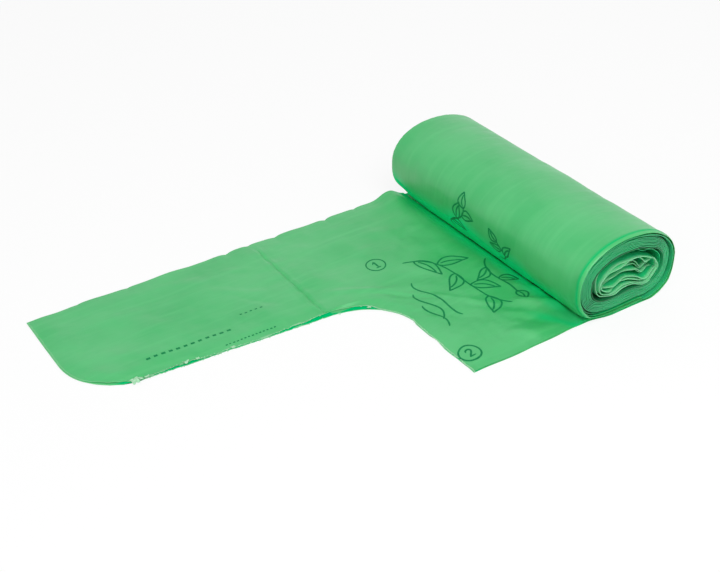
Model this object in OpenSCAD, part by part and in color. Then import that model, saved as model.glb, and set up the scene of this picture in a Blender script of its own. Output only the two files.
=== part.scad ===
// A coreless roll of thin film bin bags, with the handle of its first bag pulled out flat.
// The film web is folded once along its far edge, so it has a lower and an upper leaf.
// It is one piece, from the handle's round end to the crushed middle of the roll.
// X runs along the roll, Y away from the loose end and Z up from the surface it lies on.
// The origin is on that surface, under the middle of the roll.

/* [Film web] */
// Width of the folded web, from its fold to its open edge
web_w = 145; // [120:1:175]
// Thickness of one leaf, which stands for the film of half a flattened bag
leaf_t = 0.35; // [0.25:0.05:0.5]
// Air between the two leaves where the web lies flat
leaf_gap = 0.3; // [0.2:0.05:0.5]
// Width of the strip along the far edge that the fold takes up
fold_w = 1; // [0.6:0.1:2]

/* [Roll] */
// Width of the squashed roll across its axis
roll_w = 61.6; // [52:0.1:75]
// Height of the squashed roll
roll_h = 42.1; // [35:0.1:52]
// How far the round bottom is pressed flat by the roll's own weight
flat_press = 0.6; // [0.3:0.1:2]
// How far the outer turns lean over towards the back, in degrees
roll_lean = 4.5; // [3:0.5:8]
// Shape of the roll's top, where 1 is a plain oval and less is fuller at its corners
top_shape = 0.96; // [0.85:0.01:1]
// Shape of the sagging lower half, in the same way
sag_shape = 0.7; // [0.62:0.01:0.9]
// How far the roll has crept along its axis from the loose end
roll_creep = 2.2; // [1:0.1:4]
// Number of turns that can be told apart on the end of the roll
turns = 7; // [5:1:9]
// Thickness of one packed turn
turn_t = 1.35; // [1.1:0.05:1.7]

/* [Crushed middle] */
// Height of the hollow inside the last turn
core_h = 11; // [8:0.5:13]
// How far the hollow lies behind the roll's centre
core_back = 4.5; // [3:0.5:6]
// How far the hollow has sunk below the roll's centre
core_drop = 2.5; // [1:0.5:4]
// How far the hollow leans over, in degrees
core_lean = 2.5; // [1:0.5:5]
// Height of the dent in the underside of the inner turns
dent_h = 4; // [2.5:0.1:5]
// Distance of that dent behind the roll's centre
dent_y = 3.5; // [2:0.5:6]
// Half width of that dent
dent_w = 8; // [6:0.5:11]
// Depth of the notch in the top of the inner turns
notch_h = 3; // [1.5:0.1:4]
// Distance of that notch behind the roll's centre
notch_y = 13; // [11:0.5:15]
// Half width of that notch
notch_w = 4; // [3:0.5:6]

/* [Ends of the roll] */
// How far the film edge of each turn stands out of the roll's end
ridge_h = 1; // [0.5:0.1:1.5]
// Depth of the spiral groove between two turns
groove_d = 1.1; // [0.6:0.1:2]
// Which turn has slipped in and leaves a gap, counted from the outside
slip_turn = 4.5; // [3.5:0.5:5]
// How far that turn has slipped in
slip_d = 3; // [1.5:0.1:4.5]
// How far the inner turns have slipped back towards the fold
inner_slip = 1.4; // [0.6:0.1:2]
// Depth of the hollow in the crushed middle
hollow_d = 4.5; // [3:0.5:6]
// Height of the film folds that stand in the hollow
pleat_h = 4; // [1:0.1:5]

/* [Loose end] */
// Distance from the middle of the roll to the straight cut of the bag's mouth
mouth_y = 87.4; // [78:0.1:105]
// Length of the handle, from the mouth to its round end
handle_len = 149.3; // [120:0.1:180]
// Width of the handle at its weld
handle_w = 74; // [60:0.5:88]
// How much narrower the handle is at its end
handle_taper = 8.5; // [5:0.5:12]
// Radius of the round corner at the handle's end
corner_r = 27; // [20:1:34]
// Distance from the mouth to the weld across the handle
weld_y = 30.5; // [24:0.5:38]
// Width of the weld
weld_w = 2; // [1.5:0.1:3]
// Length of the curve from the handle into the mouth, across the web
curve_x = 25; // [18:1:32]
// How far the upper leaf's cut edge lies back from the lower one
set_back = 1.2; // [0.8:0.1:1.8]
// Height of the hump where the far edge lifts in front of the roll
hump_h = 4; // [2.5:0.1:6]
// Half length of that hump
hump_w = 7.5; // [6:0.5:9]
// How far that hump reaches across the web
hump_reach = 29; // [20:1:40]
// Height of the soft waves in the upper leaf
wave_h = 0.8; // [0.4:0.1:1.4]
// Length of the soft waves in the upper leaf
wave_len = 52; // [40:1:65]
// Length over which the waves die out towards the fold and the roll
wave_fade = 12; // [8:1:16]

/* [Hidden] */

// Steps of the surface: round one turn, along the handle, on to the hump and over it
SEG = 48;
HANDLE_ROWS = 12;
FLAT_ROWS = 7;
HUMP_ROWS = 8;
// Columns across the handle and across the rest of the web
HANDLE_COLS = 10;
REST_COLS = 8;
// How strongly the columns crowd together at the handle's cut edge
CROWD = 1.7;
// Steps from the top to the bottom of the hollow, with a film fold on each second one
PLEAT_STEPS = 8;

// Share of a turn after which the film starts to come down onto the next turn
DROP_START = 0.7;
// How much less the film edges stand out in the packed turns
PACKED = 0.6;
// How unevenly the film edges stand out, and how fast that changes, in degrees a turn
UNEVEN = 0.25;
UNEVEN_RATE = 950;
// How far the film folds in the hollow swing from side to side, in steps, and how much
// their height changes along them
PLEAT_SWING = 0.25;
PLEAT_UNEVEN = 0.25;
// Share of the hump's height that is left at the web's open edge
HUMP_LEFT = 0.1;

COLS = HANDLE_COLS + REST_COLS;
ROWS = HANDLE_ROWS + 1 + FLAT_ROWS + HUMP_ROWS;
STEPS = round(turns) * SEG;
LEVELS = round(turns) + 1;

function ease(a, b, v) = let(s = max(0, min(1, (v - a) / (b - a)))) s * s * (3 - 2 * s);
function mix(a, b, s) = a + (b - a) * s;
function bell(v) = abs(v) > 3 ? 0 : exp(-v * v);
// Cosine and sine of an oval that is fuller than a plain one, above and below its middle
function shape(angle) = sin(angle) < 0 ? sag_shape : top_shape;
function full_cos(angle) = sign(cos(angle)) * pow(abs(cos(angle)), shape(angle));
function full_sin(angle) = sign(sin(angle)) * pow(abs(sin(angle)), shape(angle));

half_w = web_w / 2;

// The roll before it is pressed flat. Half a turn is added, because the outermost turn
// has already wound inwards by that much where the roll's width and height are measured.
roll_a = (roll_w + turn_t) / 2;
roll_zc = (roll_h + turn_t / 2 - flat_press) / 2;
roll_b = sqrt(pow(roll_zc + flat_press, 2) - pow(roll_a * tan(roll_lean), 2));
squeeze = (roll_b - core_h / 2 - turn_t * LEVELS) / pow(LEVELS, 2);

// The roll's section: a spiral of squashed turns. A level of 1 lies one turn further in.

function inward(level) = level / LEVELS;
function depth(level) = turn_t * level + squeeze * level * level;
function half_width(level) = roll_a - turn_t * level;
function half_height(level) = roll_b - depth(level);
function centre_z(level) = roll_zc - core_drop * pow(inward(level), 2);
function lean(level) = tan(mix(roll_lean, core_lean, inward(level)));

// Height at which a turn lies flat on the one below it
function rest_z(level) =
    depth(level) - flat_press * inward(level) - core_drop * pow(inward(level), 2);
// A turn keeps that height until it comes down the front, onto the next one
function support_z(level) =
    let(below = floor(level))
    mix(rest_z(below), rest_z(below + 1), ease(DROP_START, 1, level - below));

function section_point(level, angle) =
    let(
        u = inward(level),
        side = half_width(level) * full_cos(angle),
        y = side + core_back * u,
        round_z = centre_z(level) + half_height(level) * full_sin(angle) - side * lean(level),
        dent = dent_h * u * u * (1 - sin(angle)) / 2 * bell((y - dent_y) / dent_w),
        notch = notch_h * u * u * (1 + sin(angle)) / 2 * bell((y - notch_y) / notch_w)
    )
    [y, max(round_z, support_z(level)) + dent - notch];

// Direction of the crevice, where the first turn comes down onto the loose end. It is
// found by halving the range between the roll's front and its underside.
function front_z(angle) =
    centre_z(1) + half_height(1) * full_sin(angle) - half_width(1) * full_cos(angle) * lean(1);
function find_crevice(above, below, halvings) =
    let(middle = (above + below) / 2)
    halvings == 0 ? middle
    : front_z(middle) > rest_z(1) ? find_crevice(middle, below, halvings - 1)
    : find_crevice(above, middle, halvings - 1);
crevice_angle = find_crevice(180, 270, 30);
crevice_y = section_point(1, crevice_angle)[0];

function step_angle(step) = crevice_angle + 360 * step / SEG;
// The outermost turn starts flat on the surface, as the loose end lies
function turn_point(step) =
    let(p = section_point(step / SEG, step_angle(step)))
    step < SEG && step_angle(step) < 270 ? [p[0], 0] : p;
// Layers 0 to 3 go from the outside of a turn to its inside. The inner end is cut upright.
function roll_point(step, layer) =
    let(p = mix(turn_point(step), turn_point(step + SEG), layer / 3))
    [step == STEPS ? turn_point(step)[0] : p[0], p[1]];

// The roll's ends

// How far a turn has crept along the axis
function creep(level) = roll_creep - inner_slip * ease(1, 3, level);
// How far the film edge stands out, less in the middle turns, which are packed tight
function looseness(level) =
    1 - PACKED * ease(1.5, 2.5, level) * (1 - ease(slip_turn - 1, slip_turn, level));
function edge_ridge(level, side) =
    ridge_h * looseness(level) * (1 + UNEVEN * sin(UNEVEN_RATE * level + 70 * side))
    - slip_d * ease(slip_turn - 0.2, slip_turn, level)
        * (1 - ease(slip_turn + 0.8, slip_turn + 1, level));
function edge_groove(level) =
    -groove_d * looseness(level) * ease(0, 0.3, level)
    - slip_d * ease(slip_turn - 0.2, slip_turn, level)
        * (1 - ease(slip_turn + 1.8, slip_turn + 2, level));

function end_point(side, step, layer) =
    let(
        level = step / SEG,
        edge = layer == 1 || layer == 2 ? edge_ridge(level, side)
            : edge_groove(layer == 0 ? level : level + 1),
        p = roll_point(step, layer)
    )
    [side * (half_w + ease(0, 0.1, level) * edge) + creep(level), p[0], p[1]];

// The rim of the hollow is the inside of the last turn. Columns run across the hollow, from
// its top to its bottom. The first starts a little below the rim's right tip, so that
// the columns lean clear of the film's inner end.
RIM = SEG + 1;
RIM_TIP = floor((360 - crevice_angle) * SEG / 360) - 1;
HOLLOW_COLS = floor(RIM / 2);

function rim_step(i) = STEPS - SEG + i;
function upper_rim(col) = (RIM_TIP + col) % RIM;
function lower_rim(col) = (RIM_TIP - col + RIM) % RIM;

// A point of the hollow's floor, between the rim above and below it
function hollow_point(side, col, fold) =
    let(
        top = roll_point(rim_step(upper_rim(col)), 3),
        low = roll_point(rim_step(lower_rim(col)), 3),
        share = (fold + PLEAT_SWING * sin(25 * col + 70 * fold)) / PLEAT_STEPS,
        crest = 1 - PLEAT_UNEVEN * (1 - sin(40 * col + 90 * fold)),
        pleat = fold % 2 == 0 ? pleat_h * crest : 0,
        p = mix(top, low, share)
    )
    [side * (half_w - hollow_d + pleat) + creep(LEVELS), p[0], p[1]];

// The loose end in plan: its columns and rows

function handle_share(col) = 1 - pow(1 - (col - 1) / (HANDLE_COLS - 1), CROWD);
function rest_share(col) = pow((col - HANDLE_COLS) / REST_COLS, CROWD);

// Distance of a column from the far edge, where the handle's cut edge is at width w
function column_x(col, w) =
    col == 0 ? 0
    : col <= HANDLE_COLS ? mix(fold_w, w, handle_share(col))
    : mix(w, web_w, rest_share(col));

root_y = -mouth_y - weld_y - weld_w / 2;
hump_y = -roll_w / 2;
hump_start_y = hump_y - 2 * hump_w;
end_w = handle_w - handle_taper;

// The handle's round end, and the curve from its cut edge into the mouth
function end_y(x) =
    let(over = max(0, x - (end_w - corner_r)))
    -mouth_y - handle_len + corner_r - sqrt(max(0, corner_r * corner_r - over * over));
function mouth_cut_y(x) =
    let(left = max(0, min(1, 1 - (x - handle_w) / curve_x)))
    x <= handle_w ? root_y : -mouth_y + (root_y + mouth_y) * (1 - sqrt(1 - left * left));

// The upper leaf's cut edge lies back, most where the handle curves into the mouth
function cut_back(row, layer) =
    layer < 2 ? 0
    : set_back * (1 + ease(HANDLE_ROWS - 3, HANDLE_ROWS, row))
        * (1 - ease(HANDLE_ROWS + 1, HANDLE_ROWS + FLAT_ROWS, row));

function handle_point(col, row, layer) =
    let(
        s = row / HANDLE_ROWS,
        w = mix(end_w, handle_w, s) - cut_back(row, layer)
    )
    [column_x(col, w), mix(end_y(column_x(col, end_w)), root_y, s)];
function root_point(col, row, layer) =
    let(
        x = column_x(col, handle_w),
        start = mouth_cut_y(x),
        after_weld = start + weld_w * (crevice_y - start) / (crevice_y - root_y),
        flat_row = row - HANDLE_ROWS - 1,
        y = row == HANDLE_ROWS ? start
            : flat_row <= FLAT_ROWS ? mix(after_weld, hump_start_y, flat_row / FLAT_ROWS)
            : mix(hump_start_y, crevice_y, (flat_row - FLAT_ROWS) / HUMP_ROWS)
    )
    [column_x(col, handle_w - cut_back(row, layer)), y];

// The loose end's heights

// Both leaves lift together in front of the roll, most at the far edge
function lift(x, y) =
    hump_h * bell((y - hump_y) / hump_w) * mix(HUMP_LEFT, 1, exp(-x / hump_reach))
    * ease(crevice_y, crevice_y - hump_w, y);
// The upper leaf also has soft waves of its own
function wave(v) = sin(360 * v / wave_len);
function loft(x, y) =
    wave_h * (0.5 + 0.5 * wave(y + 0.45 * x) * wave(0.8 * x - 0.3 * y))
    * ease(0, wave_fade, x) * ease(crevice_y, crevice_y - wave_fade, y);

function is_weld(col, row) =
    col <= HANDLE_COLS && (row == HANDLE_ROWS || row == HANDLE_ROWS + 1);

function lead_point(col, row, layer) =
    row == ROWS
    ? let(p = roll_point(0, layer)) [column_x(col, handle_w) - half_w + creep(0), p[0], p[1]]
    : let(
        p = row < HANDLE_ROWS ? handle_point(col, row, layer) : root_point(col, row, layer),
        air = is_weld(col, row) ? leaf_gap / 2 : leaf_gap + loft(p[0], p[1]),
        bulge = col == 0 && (layer == 1 || layer == 2) ? leaf_t / 2 : 0,
        crept = creep(0) * ease(crevice_y - roll_a / 2, crevice_y, p[1]),
        x = p[0] - half_w - bulge + crept,
        z = lift(p[0], p[1]) + (layer < 2 ? layer * leaf_t : (layer - 1) * leaf_t + air)
    )
    [x, p[1], z];

// Numbering of the points: the loose end, the roll's wall, its two ends and their hollows

WALL_START = (ROWS + 1) * (COLS + 1) * 4;
END_START = WALL_START + (SEG - 1) * (COLS + 1);
END_SIZE = (STEPS + 1) * 4;
HOLLOW_START = END_START + 2 * END_SIZE;
HOLLOW_SIZE = (HOLLOW_COLS - 1) * (PLEAT_STEPS - 1);

function end_of(col) = col == 0 ? 0 : 1;
function lead_id(col, row, layer) = (row * (COLS + 1) + col) * 4 + layer;
function roll_id(col, step, layer) =
    step == 0 ? lead_id(col, ROWS, layer)
    : step == SEG && layer == 0 ? lead_id(col, ROWS, 3)
    : layer == 3 && step + SEG <= STEPS ? roll_id(col, step + SEG, 0)
    : layer == 0 && step < SEG ? WALL_START + (step - 1) * (COLS + 1) + col
    : END_START + end_of(col) * END_SIZE + step * 4 + layer;
function rim_id(col, i) = roll_id(col, rim_step(i), 3);
function hollow_id(col, k, fold) =
    k == 0 || fold == 0 || (k == HOLLOW_COLS && fold < PLEAT_STEPS / 2)
        ? rim_id(col, upper_rim(k))
    : k == HOLLOW_COLS || fold == PLEAT_STEPS ? rim_id(col, lower_rim(k))
    : HOLLOW_START + end_of(col) * HOLLOW_SIZE + (k - 1) * (PLEAT_STEPS - 1) + fold - 1;

function wall_point(col, step) =
    col == 0 ? end_point(-1, step, 0)
    : col == COLS ? end_point(1, step, 0)
    : let(p = turn_point(step)) [column_x(col, handle_w) - half_w + creep(0), p[0], p[1]];

POINTS = concat(
    [for (row = [0:ROWS], col = [0:COLS], layer = [0:3]) lead_point(col, row, layer)],
    [for (step = [1:SEG - 1], col = [0:COLS]) wall_point(col, step)],
    [for (side = [-1, 1], step = [0:STEPS], layer = [0:3]) end_point(side, step, layer)],
    [for (side = [-1, 1], k = [1:HOLLOW_COLS - 1], fold = [1:PLEAT_STEPS - 1])
        hollow_point(side, k, fold)]
);

// The faces. Each patch has four corners, clockwise from outside, and makes two triangles.

function patch(a, b, c, d) = [
    for (t = [[a, b, c], [a, c, d]])
        if (t[0] != t[1] && t[1] != t[2] && t[2] != t[0]) t
];

// The loose end is a grid of cells, in three layers: the lower leaf, the air between the
// leaves and the upper leaf. The air is filled where the leaves join: at the fold, at the
// weld and where the web runs in under the roll.
function is_film(col, row, layer) =
    col >= 0 && col < COLS && row >= 0 && row < ROWS && layer >= 0 && layer < 3
    && (row >= HANDLE_ROWS || col < HANDLE_COLS)
    && (layer != 1 || col == 0 || row == ROWS - 1
        || (row == HANDLE_ROWS && col < HANDLE_COLS));

// The six sides of a cell: the step to the next cell, and the side's four corners
CELL_SIDES = [
    [[0, 0, -1], [[0, 0, 0], [1, 0, 0], [1, 1, 0], [0, 1, 0]]],
    [[0, 0, 1], [[0, 0, 1], [0, 1, 1], [1, 1, 1], [1, 0, 1]]],
    [[-1, 0, 0], [[0, 0, 0], [0, 1, 0], [0, 1, 1], [0, 0, 1]]],
    [[1, 0, 0], [[1, 0, 0], [1, 0, 1], [1, 1, 1], [1, 1, 0]]],
    [[0, -1, 0], [[0, 0, 0], [0, 0, 1], [1, 0, 1], [1, 0, 0]]],
    [[0, 1, 0], [[0, 1, 0], [1, 1, 0], [1, 1, 1], [0, 1, 1]]]
];
function cell_id(cell, offset) =
    let(p = cell + offset) lead_id(p[0], p[1], p[2]);
// The side where the web runs in under the roll stays open, because the roll goes on there
function is_open(cell, next) =
    is_film(next[0], next[1], next[2]) || (next[1] == ROWS && cell[1] == ROWS - 1);

LEAD_FACES = [
    for (col = [0:COLS - 1], row = [0:ROWS - 1], layer = [0:2])
        if (is_film(col, row, layer))
            let(cell = [col, row, layer])
                for (side = CELL_SIDES)
                    if (!is_open(cell, cell + side[0]))
                        let(ids = [for (offset = side[1]) cell_id(cell, offset)])
                            each patch(ids[0], ids[1], ids[2], ids[3])
];

function turned_patch(a, b, c, d, col) = col == 0 ? patch(a, b, c, d) : patch(a, d, c, b);

WALL_FACES = [
    for (step = [0:SEG - 1], col = [0:COLS - 1])
        each patch(
            roll_id(col, step, 0), roll_id(col + 1, step, 0),
            roll_id(col + 1, step + 1, 0), roll_id(col, step + 1, 0)
        )
];
END_FACES = [
    for (col = [0, COLS], step = [0:STEPS - 1], layer = [0:2])
        each turned_patch(
            roll_id(col, step, layer), roll_id(col, step + 1, layer),
            roll_id(col, step + 1, layer + 1), roll_id(col, step, layer + 1), col
        )
];
// The film's inner end, which closes the spiral
INNER_END_FACES = [
    for (col = [0, COLS])
        each turned_patch(
            roll_id(col, STEPS, 3), roll_id(col, STEPS, 2),
            roll_id(col, STEPS, 1), roll_id(col, STEPS, 0), col
        )
];
HOLLOW_FACES = [
    for (col = [0, COLS], k = [0:HOLLOW_COLS - 1], fold = [0:PLEAT_STEPS - 1])
        each turned_patch(
            hollow_id(col, k, fold), hollow_id(col, k + 1, fold),
            hollow_id(col, k + 1, fold + 1), hollow_id(col, k, fold + 1), col
        )
];

module bag_roll() {
    color([0.33, 0.73, 0.46])
        polyhedron(
            points = POINTS,
            faces = concat(LEAD_FACES, WALL_FACES, END_FACES, INNER_END_FACES, HOLLOW_FACES),
            convexity = 10
        );
}

bag_roll();
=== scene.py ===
"""Bin bag roll: a squashed roll of thin film bags, with its first bag's handle pulled out.

All sizes are in metres. X runs along the roll, Y away from the loose end and Z up, and the
origin is on the surface that the roll lies on, under the middle of the roll.
"""

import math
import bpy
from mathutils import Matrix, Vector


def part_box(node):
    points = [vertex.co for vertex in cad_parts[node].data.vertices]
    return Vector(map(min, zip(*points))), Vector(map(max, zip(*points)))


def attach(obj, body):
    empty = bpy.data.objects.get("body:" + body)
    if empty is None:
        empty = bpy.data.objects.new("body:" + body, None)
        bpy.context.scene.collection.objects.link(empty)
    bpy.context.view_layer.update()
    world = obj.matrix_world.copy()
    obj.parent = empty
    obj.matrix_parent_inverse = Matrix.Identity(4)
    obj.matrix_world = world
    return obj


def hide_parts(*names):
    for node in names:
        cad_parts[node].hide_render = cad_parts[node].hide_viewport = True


bl_info = {
    "name": "Bin Bag Roll",
    "version": (1, 0, 0),
    "blender": (4, 5, 0),
    "location": "View3D > Sidebar > Bag Roll",
    "description": "Builds a squashed roll of thin film bin bags with one handle pulled out",
    "category": "Add Mesh",
}

import bmesh
import bpy
import numpy as np
from bpy.props import FloatProperty, FloatVectorProperty, IntProperty, PointerProperty
from mathutils import Vector
from mathutils.bvhtree import BVHTree

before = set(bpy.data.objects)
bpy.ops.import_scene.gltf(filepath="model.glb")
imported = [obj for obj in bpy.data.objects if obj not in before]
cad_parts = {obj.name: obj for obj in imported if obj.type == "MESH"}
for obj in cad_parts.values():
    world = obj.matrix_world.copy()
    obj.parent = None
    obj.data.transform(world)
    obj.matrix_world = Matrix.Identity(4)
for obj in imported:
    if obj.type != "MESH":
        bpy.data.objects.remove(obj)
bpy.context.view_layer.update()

CAD_NODE = "bag_roll"
BODY = "root"
MM = 0.001
TAU = 2 * math.pi

# Levels of the second lip, of the groove below it and of the gap that the loose turns leave
LIP_LEVEL = 1.6
GROOVE_LEVEL = 1.86
GAP_LEVEL = 5.3
# How far the crushed middle lies below the last turn, in levels
MIDDLE_DEPTH = 0.35

# Turns, counted from the crevice: the end of the loose end's mesh, the place where the wall
# comes down onto the loose end, and the end of the outer turn's mesh
UNDER_END = 0.06
KEEL_TURN = 0.908
WALL_END = 1.06

# Where the lower front sags most, in front of the axis, and how far the sag reaches
SAG_PLACE = 21.5 * MM
SAG_REACH = 8 * MM
# How steeply the hanging front rises in front of the place where it lies, and the heights
# between which it goes over into the plain wall
KEEL_SLOPE = 1.35
KEEL_FADE = (5 * MM, 11.5 * MM)
# A distance that is greater than any on the web
FAR = 1.0

# Columns of a leaf across the handle and on to the open edge, and of the fold between leaves
HANDLE_COLS = 56
REST_COLS = 50
FOLD_COLS = 6
# The lower leaf has only every second column
LOWER_STRIDE = 2
# How much the columns crowd towards the handle's cut edge
CROWD = 1.6
# Rows of the handle, of the web on to the crevice, under the roll, and round the outer turn
HANDLE_ROWS = 96
ROOT_ROWS = 104
UNDER_ROWS = 5
WALL_ROWS = 190
# Rows of one packed turn, and of one pass of the film through the crushed middle
TURN_STEPS = 84
CORE_STEPS = 44
# Steps of one turn in the section's table of levels
SECTION_STEPS = 200

# Film shows a sharp edge where it turns by more than this
SHARP_ANGLE = math.radians(50)

# Numbers that each point of a film mesh holds, for its material
MARKS = ("torn_and_lit", "light_and_shade", "lit_alone")


def mm_property(name, description, mm):
    """A size, given in millimetres."""
    return FloatProperty(name=name, description=description, default=mm * MM, unit="LENGTH")


def angle_property(name, description, degrees):
    """An angle, given in degrees."""
    default = math.radians(degrees)
    return FloatProperty(name=name, description=description, default=default, subtype="ANGLE")


def number_property(name, description, default):
    """A plain number."""
    return FloatProperty(name=name, description=description, default=default)


def colour_property(name, description, default):
    """A colour, given as its red, green and blue."""
    return FloatVectorProperty(
        name=name, description=description, default=default, size=3, subtype="COLOR"
    )


class WebSettings(bpy.types.PropertyGroup):
    """Sizes of the folded film web that the roll is wound from"""

    width: mm_property("Web width", "Width of the folded web, from its fold to its open edge", 145)
    film_t: mm_property("Leaf thickness", "One leaf of the loose end and of the outer turn", 0.15)
    turn_film_t: mm_property("Packed film thickness", "The film in the packed turns", 0.36)
    air: mm_property("Air between the leaves", "Distance of the two leaves where they lie flat", 0.75)
    edge_air: mm_property("Air at the cut edges", "Distance of the leaves at the torn edge", 0.24)
    wound_air: mm_property("Air in the outer turn", "Distance of the leaves round the roll", 0.6)


class RollSettings(bpy.types.PropertyGroup):
    """Sizes of the squashed roll"""

    width: mm_property("Width", "Width across the axis", 61.6)
    height: FloatProperty(
        name="Height",
        description="Height of the squashed roll",
        default=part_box(CAD_NODE)[1].z,
        unit="LENGTH",
    )
    flat_press: mm_property("Flat spot", "How far the round bottom is pressed flat", 0.6)
    lean: angle_property("Lean", "How far the outer turns lean over towards the back", 4.5)
    top_shape: number_property("Top shape", "1 is a plain oval, less is fuller", 0.96)
    sag_shape: number_property("Sag shape", "The same for the sagging lower half", 0.7)
    creep: mm_property("Creep", "How far the roll has crept along its axis", 2.2)
    turn_t: mm_property("Level thickness", "Distance of two levels at the roll's sides", 1.35)
    narrowing: mm_property("Narrowing", "How much the inner turns narrow, at the first level", 0.05)
    sag: mm_property("Sag", "How far the lower front hangs down onto the loose end", 2)
    keel_y: mm_property("Keel place", "Where the wall comes down, in front of the axis", 21.5)
    keel_z: mm_property("Keel height", "Height of the wall where it lies on the loose end", 1.4)
    settle: mm_property("Settling", "How far the loose inner turns have settled", 2.4)
    levels: IntProperty(
        name="Levels", description="Levels from the outside to the crushed middle", default=8
    )
    core_h: mm_property("Middle height", "Height of the crushed middle", 11)
    core_back: mm_property("Middle back", "How far the middle lies behind the axis", 3.6)
    core_drop: mm_property("Middle drop", "How far the middle has sunk", 2.5)
    core_lean: angle_property("Middle lean", "How far the middle leans over", 2.5)
    dent_h: mm_property("Dent height", "Dent in the underside", 4)
    dent_y: mm_property("Dent place", "Distance of the dent behind the axis", 3.5)
    dent_w: mm_property("Dent width", "Half width of the dent", 8)
    notch_h: mm_property("Notch depth", "Notch in the inner turns' top", 5.5)
    notch_y: mm_property("Notch place", "Distance of the notch behind the axis", 13)
    notch_w: mm_property("Notch width", "Half width of the notch", 3.2)


class EndSettings(bpy.types.PropertyGroup):
    """How the film edges lie at the two ends of the roll"""

    pitch: number_property("Packed pitch", "Levels from one packed turn to the next", 0.36)
    gap_turn: number_property("Gap turn", "Turn at which the film has come loose", 12)
    gap: number_property("Gap", "Extra levels that the gap takes up", 1.9)
    last_turn: number_property("Last turn", "Turn at which the crushed middle starts", 14.3)
    lip: mm_property("Lip", "How far the outer turn's edge stands out", 0.5)
    slip: mm_property("Slip", "How far the loose turn has slipped in", 3.6)
    curl: mm_property("Curl", "How far the outer edge curls inwards", 0.4)
    ragged: mm_property("Ragged edges", "Unevenness of the film edges", 0.12)


class LooseSettings(bpy.types.PropertyGroup):
    """Sizes of the loose end with its handle"""

    mouth_y: mm_property("Mouth", "Distance from the roll's middle to the mouth", 87.4)
    handle_len: mm_property("Handle length", "From the mouth to the round end", 149.3)
    handle_w: mm_property("Handle width", "Width of the handle at its weld", 74)
    taper: mm_property("Taper", "How much narrower the end is", 8.5)
    corner_r: mm_property("Corner radius", "Radius of the round corner", 27)
    weld_y: mm_property("Weld place", "Distance from the mouth to the weld", 30.5)
    weld_w: mm_property("Weld width", "Width of the weld", 2)
    curve_x: mm_property("Mouth curve", "Length of the curve into the mouth", 25)
    hump_h: mm_property("Hump height", "Hump of the far edge", 4.1)
    hump_w: mm_property("Hump width", "Half length of the hump", 7.5)
    hump_reach: mm_property("Hump reach", "How far the hump reaches across", 29)
    wave_h: mm_property("Wave height", "Soft waves of the upper leaf", 0.8)
    wave_len: mm_property("Wave length", "Length of those waves", 52)


class LookSettings(bpy.types.PropertyGroup):
    """Colours of the film, its print and its torn edges, and of the painted light and shade on the film
    """

    film: colour_property("Film", "The film", (0.024, 0.41, 0.105))
    film_pale: colour_property("Pale film", "The film where it is stretched", (0.085, 0.50, 0.17))
    packed: colour_property("Packed film", "The packed turns", (0.012, 0.38, 0.135))
    packed_pale: colour_property("Pale packed film", "Their lighter places", (0.04, 0.46, 0.18))
    # Painted light: a lighter, saturated green where a leaf lies alone, as if lit through, and along a
    # fold by the crevice
    film_lit_alone: colour_property("Single film", "A leaf that lies alone", (0, 0.47, 0.14))
    # Painted light: the saturated green of film that light is painted as coming through
    film_lit_through: colour_property("Deep film", "Film that light comes through", (0.006, 0.74, 0.26))
    # Painted shadow in the gap under the roll
    film_shadow: colour_property("Dark film", "The film under the roll", (0, 0.03, 0.004))
    ink: colour_property("Ink", "The print", (0, 0.17, 0.055))
    # Pale torn film; also painted light in the edges of the packed turns' loose folds
    torn_and_lit_colour: colour_property("Torn film", "Torn and stretched bits", (0.42, 0.72, 0.46))


def ease(a, b, v):
    """0 before a, 1 after b and smooth between them."""
    s = np.clip((np.asarray(v, float) - a) / (b - a), 0, 1)
    return s * s * (3 - 2 * s)


def mix(a, b, s):
    """a where s is 0, b where s is 1."""
    return a + (b - a) * s


def bell(v):
    """A bump of unit height about 0."""
    return np.exp(-np.square(v))


def crinkle(x, y, size, seed, waves=14):
    """A smooth uneven field of about unit height whose bumps are about size across."""
    rng = np.random.default_rng(seed)
    total = np.zeros(np.broadcast(x, y).shape)
    for _ in range(waves):
        angle, phase = rng.uniform(0, TAU, 2)
        k = TAU / (size * rng.uniform(0.7, 1.8))
        total += np.sin(k * (np.cos(angle) * x + np.sin(angle) * y) + phase)
    return total / math.sqrt(waves)


def uneven(v, size, seed):
    """The same kind of field along a line."""
    return crinkle(v, 0 * v, size, seed)


def running_length(*axes):
    """Distance along a line from its start to each of its points."""
    return np.concatenate([[0], np.cumsum(np.hypot(*(np.diff(axis) for axis in axes)))])


def ridge(x, y, start, end, width):
    """A soft ridge of unit height along the line from start to end, dying out at both ends."""
    along = np.subtract(end, start)
    length = math.hypot(*along)
    along = along / length
    dx, dy = x - start[0], y - start[1]
    s = (dx * along[0] + dy * along[1]) / length
    across = dy * along[0] - dx * along[1]
    return bell(across / width) * ease(0, 0.35, s) * (1 - ease(0.65, 1, s))


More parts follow.
